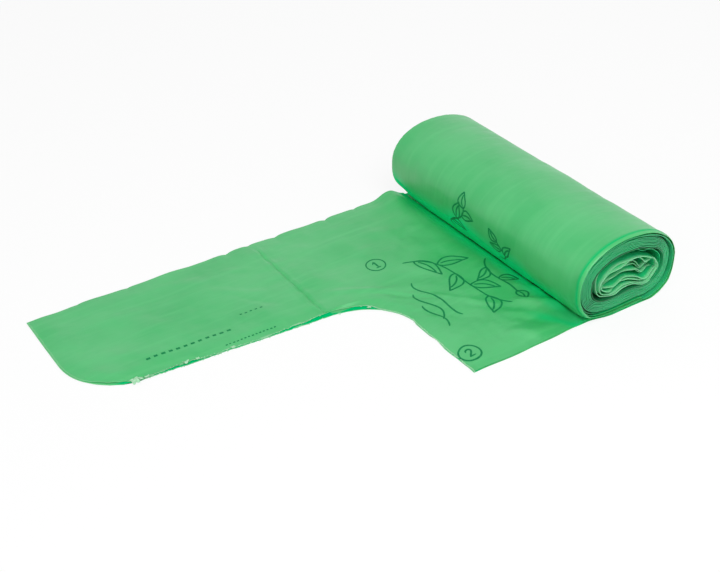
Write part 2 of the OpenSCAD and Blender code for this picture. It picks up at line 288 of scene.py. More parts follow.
class Section:
    """The roll's section, a spiral of squashed turns.

    Turns are counted along the film from the crevice, where it runs in under the roll.
    A level says how far in the film lies: a packed turn takes up less than one level.
    """

    def __init__(self, roll, ends):
        self.roll = roll
        # Half the width and the height of the outer level's oval, and the height of its centre
        self.half_w = (roll.width + roll.turn_t) / 2
        self.middle_z = (roll.height + roll.turn_t / 2 - roll.flat_press) / 2
        leaning = self.half_w * math.tan(roll.lean)
        self.half_h = math.sqrt((self.middle_z + roll.flat_press) ** 2 - leaning**2)
        self.squeeze = (self.half_h - roll.core_h / 2 - roll.turn_t * roll.levels) / roll.levels**2
        self.turns = np.arange(0, ends.last_turn + 3, 1 / SECTION_STEPS)
        gap = ease(ends.gap_turn, ends.gap_turn + 0.3, self.turns)
        gap = gap * (1 - ease(ends.gap_turn + 0.7, ends.gap_turn + 1, self.turns))
        rate = mix(1, ends.pitch, ease(1, 2, self.turns)) + ends.gap * gap
        self.levels = np.concatenate([[0], np.cumsum(rate[:-1]) / SECTION_STEPS])
        self.middle_level = float(self.level(ends.last_turn)) + MIDDLE_DEPTH
        self.crevice = self.find_crevice()

    def inward(self, level):
        """The level as a share of the way to the crushed middle."""
        return level / self.roll.levels

    def depth(self, level):
        """How far the level lies below the outer turn's top."""
        return self.roll.turn_t * level + self.squeeze * level * level

    def settled(self, level):
        """How far the loose turns have come down."""
        return self.roll.settle * ease(GAP_LEVEL + 0.05, 6.9, level)

    def rest_z(self, level):
        """Height of what the level lies on."""
        u = self.inward(level)
        rest = self.depth(level) - self.roll.flat_press * u - self.roll.core_drop * u * u
        return rest - self.settled(level)

    def lean(self, level):
        """The slope by which the level leans over."""
        return np.tan(mix(self.roll.lean, self.roll.core_lean, self.inward(level)))

    def round_point(self, level, angle):
        """The section before it is set on what lies below it."""
        sine, cosine = np.sin(angle), np.cos(angle)
        power = np.where(sine < 0, self.roll.sag_shape, self.roll.top_shape)
        width = self.half_w - self.roll.turn_t * level - self.roll.narrowing * level * level
        side = width * np.sign(cosine) * np.abs(cosine) ** power
        settled = self.settled(level) / 2
        up = (self.half_h - self.depth(level) + settled) * np.sign(sine) * np.abs(sine) ** power
        u = self.inward(level)
        z = self.middle_z - self.roll.core_drop * u * u - settled + up - side * self.lean(level)
        y = side + self.roll.core_back * u * u
        sag = bell((y + SAG_PLACE) / SAG_REACH) * np.exp(-np.maximum(z, 0) / SAG_REACH)
        return y, z - self.roll.sag * sag

    def find_crevice(self):
        """The angle at which the outer turn comes down to what it lies on, found by halving."""
        above, below = math.pi, 1.5 * math.pi
        for _ in range(30):
            middle = (above + below) / 2
            if self.round_point(1, middle)[1] > self.rest_z(1):
                above = middle
            else:
                below = middle
        return above

    def level(self, turn):
        """The level that the film has reached at a turn."""
        return np.interp(turn, self.turns, self.levels)

    def point(self, level, angle, support):
        """A point of a level, set on what lies below it, with its dent and notch."""
        y, z = self.round_point(level, angle)
        z = np.maximum(z, support)
        u = self.inward(level)
        sine = np.sin(angle)
        dent = self.roll.dent_h * u * u * (1 - sine) / 2
        notch = self.roll.notch_h * u**4 * (1 + sine) / 2
        z = z + dent * bell((y - self.roll.dent_y) / self.roll.dent_w)
        return y, z - notch * bell((y - self.roll.notch_y) / self.roll.notch_w)

    def path(self, turn):
        """Where the film lies at a turn, as y and z."""
        turn = np.asarray(turn, float)
        below = np.floor(turn)
        here, next_one = (self.rest_z(self.level(k)) for k in (below, below + 1))
        support = mix(here, next_one, ease(0.7, 1, turn - below))
        angle = self.crevice + TAU * turn
        y, z = self.point(self.level(turn), angle, support)
        return y, np.where((turn < 1) & (angle < 1.5 * math.pi), 0, z)

    def keel_drop(self, y, z):
        """How far the lower front of the outer turn hangs down to the loose end."""
        slope = self.roll.keel_z + KEEL_SLOPE * np.maximum(0, -self.roll.keel_y - y)
        return np.maximum(0, z - slope) * (1 - ease(*KEEL_FADE, z)) * (y < 0)

    def inward_normal(self, turn):
        """The direction towards the roll's middle, square to the film."""
        step = 1e-3
        y0, z0 = self.path(np.maximum(np.asarray(turn, float) - step, 0))
        y1, z1 = self.path(np.asarray(turn, float) + step)
        length = np.hypot(y1 - y0, z1 - z0)
        return -(z1 - z0) / length, (y1 - y0) / length

    def middle_point(self, across, up):
        """A place in the crushed middle: across from left to right, and up from its floor."""
        y_top, z_top = self.point(self.middle_level, math.pi * (1 - across), -1)
        y_low, z_low = self.point(self.middle_level, math.pi * (1 + across), -1)
        return mix(y_low, y_top, up), mix(z_low, z_top, up)


class Web:
    """The film web in plan and in height: the loose end and the outer turn of the roll."""

    # Places along the far edge where it is nicked, and how deep, in millimetres
    EDGE_NICKS = ((-212.3, 0.25), (-186.4, 0.35), (-132.1, 0.9), (-119.5, 0.6), (-103.7, 0.7))
    EDGE_NICKS += ((-73.0, 1.0), (-54.2, 0.5))
    # Soft creases of the upper leaf: start, end, half width and height, in millimetres
    CREASES = (
        ((-18, -114), (4, -76), 2.0, 0.7),
        ((-6, -94), (30, -56), 1.6, -0.7),
        ((2, -84), (46, -40), 2.4, 0.75),
        ((14, -92), (40, -62), 2.0, -0.45),
        ((22, -66), (58, -30), 2.4, -0.6),
        ((38, -42), (66, -12), 2.4, 1.7),
        ((46, -54), (76, -20), 3.0, -1.2),
        ((44, -32), (62, -11), 1.5, 0.9),
        ((54, -62), (78, -34), 3.2, 1.1),
        ((24, -36), (50, -14), 2.4, 0.7),
        ((-30, -60), (-8, -22), 5.0, 0.6),
        ((-52, -74), (-34, -26), 4.0, 0.5),
        ((-50, -160), (-28, -126), 2.4, 0.4),
        ((-40, -150), (-16, -130), 2.0, -0.35),
        ((-62, -146), (-46, -120), 2.2, 0.35),
        ((-60, -214), (-30, -178), 5.0, 0.5),
        ((-30, -222), (-12, -186), 4.0, 0.4),
        ((-66, -180), (-50, -140), 3.5, 0.45),
    )
    # Where the lower leaf shows beyond the upper one: place, half length and width
    SET_BACKS = ((-221, 7, 0.8), (-194.5, 6, 1.0), (-185, 2.5, 0.8), (-136, 9, 0.8))
    SET_BACKS += ((-120, 10, 1.8), (-106, 10, 3.0))
    # Places along the mouth where its edge is nicked, from the web's middle
    MOUTH_NICKS = (26.5, 43.6, 60.7)

    def __init__(self, sizes, roll, loose, section):
        self.sizes, self.roll, self.loose, self.section = sizes, roll, loose, section
        self.half = sizes.width / 2
        self.root_y = -loose.mouth_y - loose.weld_y - loose.weld_w / 2
        self.end_w = loose.handle_w - loose.taper
        self.crevice_y = float(section.path(0)[0])
        self.hump_y = -roll.width / 2 - 0.4 * MM
        turns = np.linspace(1, 0.84, 80)
        y, z = section.path(turns)
        self.keel = y, z - section.keel_drop(y, z)

    def set_back(self, y):
        """How far the upper leaf's cut edge lies back from the lower one's."""
        total = 0.6 + 0.25 * uneven(y, 9 * MM, 5)
        for place, reach, width in self.SET_BACKS:
            total = total + width * bell((y - place * MM) / (reach * MM))
        return total * MM

    def cut_width(self, y, leaf):
        """Distance of the handle's cut edge from the fold. The edge is torn along perforations."""
        s = (y - self.root_y) / (-self.loose.mouth_y - self.loose.handle_len - self.root_y)
        straight = mix(self.loose.handle_w, self.end_w, np.clip(s, 0, 1))
        ragged = 0.18 * MM * uneven(y, 2.6 * MM, 11 + leaf)
        return straight + ragged - leaf * self.set_back(y)

    def end_y(self, x, leaf):
        """The handle's round end, at a distance from the fold."""
        loose = self.loose
        over = np.maximum(0, x - (self.end_w - loose.corner_r))
        round_y = np.sqrt(np.maximum(0, loose.corner_r**2 - over**2))
        y = -loose.mouth_y - loose.handle_len + loose.corner_r - round_y
        return y + leaf * (0.5 * MM + 0.12 * MM * uneven(x, 3 * MM, 21))

    def mouth_cut_y(self, x, leaf):
        """The curve from the handle's cut edge into the straight mouth."""
        loose = self.loose
        x = x + leaf * 3.0 * MM * (1 - ease(3 * MM, 9.5 * MM, x - loose.handle_w))
        left = np.clip(1 - (x - loose.handle_w) / loose.curve_x, 0, 1)
        curve = -loose.mouth_y + (self.root_y + loose.mouth_y) * (1 - np.sqrt(1 - left * left))
        ragged = 0.22 * MM * uneven(x, 3.2 * MM, 31 + leaf)
        nicks = sum(bell((x - self.half - place * MM) / (0.7 * MM)) for place in self.MOUTH_NICKS)
        y = np.where(x <= loose.handle_w, self.root_y, curve)
        return y + (ragged + 0.9 * MM * nicks + leaf * 0.35 * MM) * ease(0, 6 * MM, x - loose.handle_w)

    def hump(self, x, y):
        """How far both leaves lift in front of the roll, most at the far edge."""
        loose = self.loose
        reach = np.where(y < self.hump_y, loose.hump_w, 0.72 * loose.hump_w)
        across = mix(0.1, 1, np.exp(-x / loose.hump_reach))
        return loose.hump_h * bell((y - self.hump_y) / reach) * across

    def loft(self, x, y):
        """How far the upper leaf stands off the lower one, with its waves and creases."""
        loose = self.loose
        turn = TAU / loose.wave_len
        waves = np.sin(turn * (y + 0.45 * x)) * np.sin(turn * (0.8 * x - 0.3 * y))
        total = loose.wave_h * (0.5 + 0.5 * waves)
        px = x - self.half
        for start, end, width, height in self.CREASES:
            start, end = np.multiply(start, MM), np.multiply(end, MM)
            total = total + height * MM * ridge(px, y, start, end, width * MM)
        total = total + 0.13 * MM * crinkle(px, y, 17 * MM, 41) + 0.05 * MM * crinkle(px, y, 7 * MM, 42)
        total = total + self.pucker(x, y)
        total = np.maximum(total, -0.45 * MM)
        return total * ease(0, 10 * MM, x) * ease(self.crevice_y, self.crevice_y - 5 * MM, y)

    def pucker(self, x, y):
        """The weld across the handle and the small puckers beside it."""
        weld_y = self.root_y + self.loose.weld_w / 2
        off = (y - weld_y) / self.loose.weld_w
        on_handle = 1 - ease(self.loose.handle_w - 4 * MM, self.loose.handle_w, x)
        beads = 0.5 * bell((off - 0.75) / 0.35) + 0.34 * bell((off + 0.8) / 0.35) - 0.55 * bell(off / 0.5)
        puckers = 0.2 * crinkle(x, 0.15 * y, 6 * MM, 43) * bell(off / 3.2)
        return (beads + puckers) * MM * on_handle

    def far_nick(self, y):
        """How far the far edge is nicked inwards."""
        nicks = (depth * np.exp(-np.abs(y - place * MM) / (1.6 * MM)) for place, depth in self.EDGE_NICKS)
        return MM * sum(nicks)

    def edge_lift(self, x, y):
        """Small bulges of the far edge between its nicks."""
        bulge = 0.35 * MM * (1 + uneven(y, 24 * MM, 51)) * np.exp(-x / (12 * MM))
        flat = 1 - ease(self.crevice_y - 16 * MM, self.crevice_y, y)
        return np.maximum(0, bulge - self.far_nick(y) * np.exp(-x / (3 * MM))) * flat

    def leaf_gap(self, x, y):
        """Distance between the two leaves, which lie close along the torn edges."""
        from_side = np.where(y < self.root_y, self.cut_width(y, 1) - x, FAR)
        from_end = np.minimum(y - self.end_y(x, 1), from_side)
        beside = (y > self.root_y) & (x > self.cut_width(self.root_y, 1))
        from_mouth = np.where(beside, y - self.mouth_cut_y(x, 1), FAR)
        from_open = np.where(y > self.root_y, self.sizes.width - x, FAR)
        from_open = mix(FAR, from_open, ease(self.crevice_y - 2 * MM, self.crevice_y - 20 * MM, y))
        inside = ease(0, 9 * MM, np.minimum(np.minimum(from_end, from_mouth), from_open))
        return mix(self.sizes.edge_air, self.sizes.air, inside)

    def lead_height(self, x, y, leaf, share):
        """Height of the film at a plan place. share goes from 0 at the lower leaf to 1 at the upper."""
        low = self.sizes.film_t / 2 + self.hump(x, y) + self.edge_lift(x, y)
        low = low + 0.12 * MM * (1 + crinkle(x, y, 21 * MM, 61)) * ease(0, 8 * MM, x) * self.near_roll(y)
        gap = self.leaf_gap(x, y)
        inside = (gap - self.sizes.edge_air) / (self.sizes.air - self.sizes.edge_air)
        height = low + share * gap + leaf * self.loft(x, y) * mix(0.12, 1, inside)
        return np.minimum(height, self.ceiling(y) - (1 - share) * 0.3 * MM)

    def ceiling(self, y):
        """Highest place of the film under the roll's overhanging front."""
        keel_y, keel_z = self.keel
        return np.interp(-y, -keel_y, keel_z - 0.7 * MM, right=FAR)

    def near_roll(self, y):
        """0 at the crevice, 1 a little way in front of it."""
        return ease(self.crevice_y, self.crevice_y - 12 * MM, y)

    def creep(self, x, y):
        """The roll has crept along its axis, and draws the web after it, soonest at the far edge."""
        soon = ease(self.hump_y - 5 * MM, self.hump_y + 8 * MM, y)
        late = ease(self.crevice_y - self.section.half_w / 2, self.crevice_y, y)
        return self.roll.creep * mix(soon, late, ease(0, 0.6 * self.sizes.width, x))


def column_list(stride):
    """The web's columns on one leaf, as counts from the fold. The cut edges come on whole steps."""
    handle = list(range(1, HANDLE_COLS, stride)) + [HANDLE_COLS]
    rest = list(range(HANDLE_COLS + stride, HANDLE_COLS + REST_COLS, stride))
    return handle + rest + [HANDLE_COLS + REST_COLS]


def column_x(col, w, width, fold_w):
    """Distance of a column from the fold, where the handle's cut edge is at w."""
    col = np.asarray(col, float)
    handle = 1 - np.maximum(0, 1 - (col - 1) / (HANDLE_COLS - 1)) ** CROWD
    rest = np.maximum(0, (col - HANDLE_COLS) / REST_COLS) ** CROWD
    return np.where(col <= HANDLE_COLS, mix(fold_w, w, handle), mix(w, width, rest))


class WebGrid:
    """Columns of the folded web: the lower leaf inwards, round the fold, and the upper leaf out."""

    def __init__(self, lower, upper):
        turn = (np.arange(FOLD_COLS) + 1) / (FOLD_COLS + 1) * math.pi
        self.col = np.array(list(lower[::-1]) + [0] * FOLD_COLS + list(upper), float)
        self.leaf = np.array([0.0] * len(lower) + [0.5] * FOLD_COLS + [1.0] * len(upper))
        self.turn = np.concatenate([np.zeros(len(lower)), turn, np.full(len(upper), math.pi)])
        self.share = (1 - np.cos(self.turn)) / 2
        self.on_fold = self.leaf == 0.5


def wall_columns(width, count, finest):
    """Distances from the fold of one leaf's columns on the roll, dense towards the open edge."""
    growth, steps = 0.32, 14
    near = finest * ((1 + growth) ** np.arange(steps) - 1) / growth
    near = near[near < width / 4]
    rest = np.linspace(near[-1], width, count)[1:-1]
    return (width - np.concatenate([near, rest, [width - 0.4 * MM]]))[::-1]


def link_object(name, data):
    """A new object in the scene."""
    obj = bpy.data.objects.new(name, data)
    bpy.context.scene.collection.objects.link(obj)
    return obj


def sheet_object(name, points, quads, thickness, material, uv, **marks):
    """A closed thin sheet round a grid of quads, with a film UV map in metres."""
    used, quads = np.unique(quads, return_inverse=True)
    quads = quads.reshape(-1, 4)
    points, uv = points[used], uv[used]
    blank = np.zeros(len(points))
    marks = {key: marks[key].ravel()[used] if key in marks else blank for key in MARKS}
    corners = points[quads]
    face_normal = np.cross(corners[:, 2] - corners[:, 0], corners[:, 3] - corners[:, 1])
    normal = np.zeros_like(points)
    for k in range(4):
        np.add.at(normal, quads[:, k], face_normal)
    normal /= np.maximum(np.linalg.norm(normal, axis=1, keepdims=True), 1e-12)
    count = len(points)
    vertices = np.concatenate([points + normal * thickness / 2, points - normal * thickness / 2])
    edges = np.concatenate([quads[:, [k, (k + 1) % 4]] for k in range(4)])
    key, back = edges[:, 0] * count + edges[:, 1], edges[:, 1] * count + edges[:, 0]
    rim = edges[~np.isin(key, back)]
    walls = np.stack([rim[:, 1], rim[:, 0], rim[:, 0] + count, rim[:, 1] + count], axis=1)
    faces = np.concatenate([quads, quads[:, ::-1] + count, walls])
    mesh = bpy.data.meshes.new(name)
    mesh.from_pydata(vertices.tolist(), [], faces.tolist())
    loops = np.zeros(len(mesh.loops), np.int32)
    mesh.loops.foreach_get("vertex_index", loops)
    layer = mesh.uv_layers.new(name="film")
    layer.data.foreach_set("uv", np.concatenate([uv, uv])[loops].astype(np.float32).ravel())
    for key, mark in marks.items():
        layer = mesh.attributes.new(key, "FLOAT", "POINT")
        layer.data.foreach_set("value", np.concatenate([mark, mark]).astype(np.float32))
    mesh.polygons.foreach_set("use_smooth", np.ones(len(mesh.polygons), bool))
    mesh.set_sharp_from_angle(angle=SHARP_ANGLE)
    mesh.materials.append(material)
    return link_object(name, mesh)


def grid_quads(rows, cols, wanted=None):
    """Quads of a grid whose points are numbered row by row."""
    row, col = np.meshgrid(np.arange(rows - 1), np.arange(cols - 1), indexing="ij")
    if wanted is not None:
        row, col = row[wanted], col[wanted]
    first = (row * cols + col).ravel()
    return np.stack([first, first + 1, first + cols + 1, first + cols], axis=1)


def film_piece(obj):
    """The piece is film of the roll, and stands for the CAD solid."""
    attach(obj, BODY)
    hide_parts(CAD_NODE)


def film_sheet(name, points, thickness, material, wanted=None, **marks):
    """A piece of film from a grid of points, as rows of columns."""
    quads = grid_quads(*points.shape[:2], wanted)
    uv = film_uv(points)
    film_piece(sheet_object(name, points.reshape(-1, 3), quads, thickness, material, uv, **marks))


def film_web():
    """The web and its roll, with the sizes that the scene holds."""
    scene = bpy.context.scene
    section = Section(scene.bag_roll, scene.bag_ends)
    return Web(scene.bag_web, scene.bag_roll, scene.bag_loose, section)


def lead_rows(web, grid):
    """Points of the loose end from the handle's end to the crevice, as rows of columns."""
    loose, width = web.loose, web.sizes.width
    fold_w = web.sizes.air / 2
    leaf = np.where(grid.leaf > 0.5, 1, 0)
    open_edge = grid.col == HANDLE_COLS + REST_COLS
    rows_x, rows_y = [], []
    for row in range(HANDLE_ROWS + ROOT_ROWS + 1):
        if row < HANDLE_ROWS:
            start = web.end_y(column_x(grid.col, web.end_w, width, fold_w), leaf)
            y = mix(start, web.root_y, row / HANDLE_ROWS)
            x = column_x(grid.col, web.cut_width(y, leaf), width, fold_w)
        else:
            s = (row - HANDLE_ROWS) / ROOT_ROWS
            fade = 1 - ease(0, 0.25, s)
            w = loose.handle_w + (web.cut_width(web.root_y, leaf) - loose.handle_w) * fade
            x = column_x(grid.col, w, width, fold_w)
            y = mix(web.mouth_cut_y(x, leaf), web.crevice_y, s)
            wavy = 0.35 * MM * uneven(y, 26 * MM, 71) - leaf * 0.4 * MM
            x = np.where(open_edge, x + wavy * web.near_roll(y), x)
        rows_x.append(x)
        rows_y.append(y)
    x, y = np.array(rows_x), np.array(rows_y)
    x = np.where(grid.on_fold, fold_w * (1 - np.sin(grid.turn)), x)
    z = web.lead_height(x, y, leaf, grid.share)
    x = x + web.far_nick(y) * np.exp(-x / (8 * MM)) - web.half + web.creep(x, y)
    return np.stack([x, y, z], axis=-1)


def wall_relief(x, turn):
    """Shallow dents and creases of the outer turn, outwards. v goes along the film."""
    v = turn * 160 * MM
    broad = 0.09 * crinkle(x, 0.5 * v, 46 * MM, 81)
    soft = 0.08 * crinkle(x, 0.35 * v, 13 * MM, 82)
    near_end = ease(20 * MM, 70 * MM, x)
    streaks = 0.17 * crinkle(x - 0.35 * v, 0.12 * v, 9 * MM, 83) * near_end
    low = ease(0.62, 0.8, turn) * (1 - ease(0.96, 1.0, turn))
    return (broad + soft + streaks * low) * MM * ease(0.12, 0.3, turn) * (1 - ease(0.93, 1.0, turn))


def edge_jitter(turn, side, seed, ends):
    """Unevenness of a film edge along the spiral. v goes along the film."""
    v = turn * 140 * MM
    fine = uneven(v, 2.4 * MM, seed + 3 * side)
    slow = uneven(v, 14 * MM, seed + 1 + 3 * side)
    return ends.ragged * (0.6 * fine + slow)


def wall_rows(web, grid, base, turns):
    """Points of the outer turn, whose two leaves lie close together. base is the flat place."""
    section, ends = web.section, bpy.context.scene.bag_ends
    turns = np.asarray(turns, float)[:, None]
    y, z = section.path(turns)
    ny, nz = section.inward_normal(turns)
    start = ease(0, 0.1, turns)
    near = start * (ends.lip + edge_jitter(turns, 0, 91, ends)) - grid.leaf * 1.1 * MM * start
    far = start * (0.6 * ends.lip + edge_jitter(turns, 1, 95, ends))
    to_edge, to_fold = web.sizes.width - base, base
    x = base + (1 - ease(0, 20 * MM, to_edge)) * near - (1 - ease(0, 20 * MM, to_fold)) * far
    wound = mix(web.sizes.air, web.sizes.wound_air, ease(0, 0.12, turns))
    fold_x = wound / 2 * (1 - np.sin(grid.turn)) - far
    x = np.where(grid.on_fold[None, :], fold_x, x)
    x = x - web.half + web.roll.creep
    # The outer leaf's edge curls in over the inner one, whose own edge lies closer still
    bent = np.clip(1 - to_edge / (1.5 * MM), 0, 1) ** 2 * ends.curl * ease(0.12, 0.3, turns)
    flare = 0.25 * MM * bell((to_edge - 2.6 * MM) / (1.6 * MM)) * ease(0.15, 0.3, turns)
    inset = web.sizes.film_t / 2 + grid.share * wound - wall_relief(x, turns)
    inset = inset + (bent - flare) * (1 - 0.6 * grid.leaf)
    away = ease(-2 * MM, 9 * MM, to_edge) * ease(-2 * MM, 9 * MM, to_fold)
    drop = section.keel_drop(y, z) * away * ease(0.8, 0.84, turns) * (1 - ease(0.99, 1.01, turns))
    return np.stack([x, y + ny * inset, z + nz * inset - drop], axis=-1)


def film_uv(points):
    """Distance across the web and along the film, in metres, for each point of a grid."""
    step = np.linalg.norm(np.diff(points, axis=0), axis=-1).mean(axis=1)
    along = np.concatenate([[0], np.cumsum(step)])
    uv = np.zeros(points.shape[:2] + (2,))
    uv[..., 0] = points[..., 0]
    uv[..., 1] = along[:, None]
    return uv.reshape(-1, 2)


def under_roll(x):
    """Where the painted shadow under the roll lies: 1 along the crevice, 0 at the roll's two ends, where
    light gets under it.
    """
    return ease(-70 * MM, -62 * MM, x) * (1 - ease(50 * MM, 66 * MM, x))


class BAG_OT_loose_end(bpy.types.Operator):
    """Build the loose end: two leaves of film joined along their fold, with the torn handle"""

    bl_idname = "bag.loose_end"
    bl_label = "Loose End"

    # Painted shade along a fold that gathers towards the crevice's near end, saturated as if the roll's
    # green light fell on it: a place on it, its way and half width
    FAN_SHADE_PLACE = (0.0537, -0.0385)
    FAN_SHADE_WAY = (0.844, 0.537)
    FAN_SHADE_WIDTH = 2.8 * MM

    def execute(self, context):
        web = film_web()
        grid = WebGrid(column_list(LOWER_STRIDE), column_list(1))
        base = column_x(grid.col, web.loose.handle_w, web.sizes.width, web.sizes.air / 2)
        under = wall_rows(web, grid, base, np.linspace(0, UNDER_END, UNDER_ROWS + 1)[1:])
        points = np.concatenate([lead_rows(web, grid), under])
        on_handle = grid.col <= HANDLE_COLS
        wanted = np.ones((points.shape[0] - 1, points.shape[1] - 1), bool)
        wanted[:HANDLE_ROWS] = on_handle[:-1] & on_handle[1:]
        light_and_shade, lit_alone = self.light(web, grid, points)
        marks = {"torn_and_lit": self.torn_and_lit(grid, points), "light_and_shade": light_and_shade, "lit_alone": lit_alone}
        film_sheet("loose_end", points, web.sizes.film_t, film_material(), wanted, **marks)
        return {"FINISHED"}

    def torn_and_lit(self, grid, points):
        """Marks the torn edges, and patches of stretched film along the handle's cut."""
        torn_and_lit = np.zeros(points.shape[:2])
        handle, cut = slice(HANDLE_ROWS + 1), grid.col == HANDLE_COLS
        torn_and_lit[handle, cut] = 1
        torn_and_lit[0] = 0.6
        torn_and_lit[HANDLE_ROWS, grid.col >= HANDLE_COLS] = 1
        x, y = points[handle, :, 0], points[handle, :, 1]
        lower, upper = np.flatnonzero(cut)[[0, -1]]
        inside = np.where(grid.leaf > 0.5, x[:, [upper]], x[:, [lower]]) - x
        patches = np.clip(0.55 + 0.6 * uneven(y, 9 * MM, 131), 0, 1)
        strip = patches * (1 - ease(0.3 * MM, 1.3 * MM, inside)) * (inside > -0.1 * MM)
        torn_and_lit[handle] = np.maximum(torn_and_lit[handle], 0.8 * strip)
        return torn_and_lit

    def light(self, web, grid, points):
        """Two marks of painted light and shade: light painted as coming through the film beside the
        crevice, with -1 for a painted shadow under the roll, and light painted where one leaf lies alone,
        and as saturated shade along a fold near the crevice."""
        x, y = points[..., 0], points[..., 1]
        keel = -web.roll.keel_y
        # Painted light that comes through the film beside the crevice
        reach = mix(11, 8.5, bell((x - 15 * MM) / (28 * MM))) * MM
        crevice_light = ease(keel - reach, keel - 1.2 * MM, y) * (1 - 0.5 * ease(48 * MM, 66 * MM, x))
        dx, dy = x - self.FAN_SHADE_PLACE[0], y - self.FAN_SHADE_PLACE[1]
        way_x, way_y = self.FAN_SHADE_WAY
        # Painted shade along the fold
        fan_shade = bell((dx * way_y - dy * way_x) / self.FAN_SHADE_WIDTH)
        fan_shade = 0.75 * fan_shade * ease(-5 * MM, 8 * MM, dx * way_x + dy * way_y)
        # Distance from the lower leaf's cut edge, which stands out from under the upper one
        edge = points[:, [int(np.argmax((grid.col == HANDLE_COLS) & (grid.leaf < 0.5)))], 0]
        cut_x, cut_y = x[HANDLE_ROWS], y[HANDLE_ROWS]
        slope = np.gradient(cut_y) / np.maximum(np.abs(np.gradient(cut_x)), 0.05 * MM)
        from_mouth = (y - cut_y) / np.sqrt(1 + slope**2)
        inside = np.where(np.arange(len(points))[:, None] < HANDLE_ROWS, edge - x, from_mouth)
        # Painted light on the lower leaf's band beside its cut edge, where the upper leaf would shade it
        alone = (1 - ease(3.5 * MM, 5 * MM, inside)) * ((grid.leaf < 0.5) & ~grid.on_fold)[None, :]
        # Painted shadow under the roll's front
        under_shadow = ease(keel - 0.2 * MM, keel + 0.5 * MM, y) * under_roll(x)
        return mix(crevice_light, -1, under_shadow), np.maximum(fan_shade, alone)


class BAG_OT_outer_turn(bpy.types.Operator):
    """Build the outer turn of the roll, on from the loose end and back to the crevice"""

    bl_idname = "bag.outer_turn"
    bl_label = "Outer Turn"

    def execute(self, context):
        web = film_web()
        width = web.sizes.width
        grid = WebGrid(wall_columns(width, 84, 0.14 * MM), wall_columns(width, 16, 0.3 * MM))
        points = wall_rows(web, grid, grid.col, np.linspace(UNDER_END, WALL_END, WALL_ROWS + 1))
        x, y, z = np.moveaxis(points, -1, 0)
        # Painted light: the low front is coloured as if light came through it, up to an uneven line, and
        # less at its near end
        front = 1 - ease(-19 * MM, -13 * MM, y)
        line = z + 2.5 * MM * uneven(x, 34 * MM, 87)
        light = 0.95 * front * (1 - ease(8 * MM, 19 * MM, line)) * (1 - 0.75 * ease(48 * MM, 68 * MM, x))
        # Painted shadow in the gap under the roll, on the wall's lowest part
        under_shadow = (y < 0) * (1 - ease(1.2 * MM, 1.9 * MM, z)) * under_roll(x)
        # Beside the open edge the outer leaf lies alone, and is painted lighter and more saturated, as if
        # lit through
        lit_stripe = bell((x - web.roll.creep - width / 2 + 1.7 * MM) / (0.62 * MM))
        marks = {"light_and_shade": mix(light, -1, under_shadow), "lit_alone": lit_stripe}
        film_sheet("outer_turn", points, web.sizes.film_t, film_material(), **marks)
        return {"FINISHED"}


# Distances of the packed turns' columns from each end of the roll, in millimetres
END_COLUMNS = (0, 0.25, 0.6, 1.1, 1.8, 2.8, 4.2, 6.2, 9.0, 13.0, 20.0, 36.0)


def turn_edge(level, angle, ends):
    """How far the film edge stands out: lips, packed turns, and loose turns rising to the middle."""
    lip = 1.4 * MM * (1 - ease(LIP_LEVEL, LIP_LEVEL + 0.15, level)) - 0.15 * MM
    groove = -2.4 * MM * bell((level - GROOVE_LEVEL) / 0.28)
    # The loose turn has slipped in most where it lies at the top and at the front
    skew = mix(0.4, 1, ease(-0.75, 0.5, np.cos(angle - math.radians(140))))
    into = ease(GAP_LEVEL, GAP_LEVEL + 0.25, level)
    rise = ease(6.2, 7.05, level)
    return lip + groove - ends.slip * skew * into * (1 - rise) - 0.7 * MM * rise


# The film's way through the crushed middle. Each row is one half pass from the left end at
# the bottom: reach across, height share, and how far the edge stands back, in millimetres.
MIDDLE_KNOTS = (
    (0.05, 0.08, 1.0),
    (0.50, 0.08, 1.2),
    (0.94, 0.14, 1.2),
    (0.50, 0.20, 1.5),
    (0.08, 0.22, 2.2),
    (0.46, 0.41, 4.8),
    (0.88, 0.36, 3.4),
    (0.56, 0.53, 2.6),
    (0.14, 0.50, 3.6),
    (0.48, 0.70, 4.8),
    (0.80, 0.72, 4.2),
    (0.50, 0.86, 4.2),
    (0.20, 0.84, 3.2),
)


def middle_path(section):
    """The film's crumpled way through the crushed middle, as y, z and how far it stands back."""
    across, up, back = np.array(MIDDLE_KNOTS).T
    q = np.linspace(0, len(across) - 1, (len(across) - 1) * CORE_STEPS // 2 + 1)
    knot = np.minimum(q.astype(int), len(across) - 2)
    part = q - knot
    # Across, the film slows down where it turns back at either end
    swing = np.where(knot % 2 == 0, 1 - np.cos(part * math.pi / 2), np.sin(part * math.pi / 2))
    soft = ease(0, 1, part)
    place = mix(across[knot], across[knot + 1], swing)
    height = mix(up[knot], up[knot + 1], soft) + 0.03 * uneven(q, 1.7, 121)
    y, z = section.middle_point(place, height)
    return y, z, mix(back[knot], back[knot + 1], soft) * MM


def crush(x, y, z, level, web):
    """Bends the film near the ends of the roll, more the further in it lies."""
    depth = web.half - np.abs(x - web.roll.creep * 0.6)
    reach = mix(3.0, 11.0, ease(GAP_LEVEL, 6.6, level)) * MM
    near = np.clip(1 - depth / reach, 0, 1.3) ** 2
    amount = mix(0.07, 0.9, ease(GAP_LEVEL + 0.2, 7, level)) * MM
    side = np.sign(x)
    dy = crinkle(y + 7 * MM * side, z, 17 * MM, 101)
    dz = crinkle(y + 7 * MM * side, z, 13 * MM, 102)
    return y + near * amount * 0.6 * dy, z + near * amount * dz


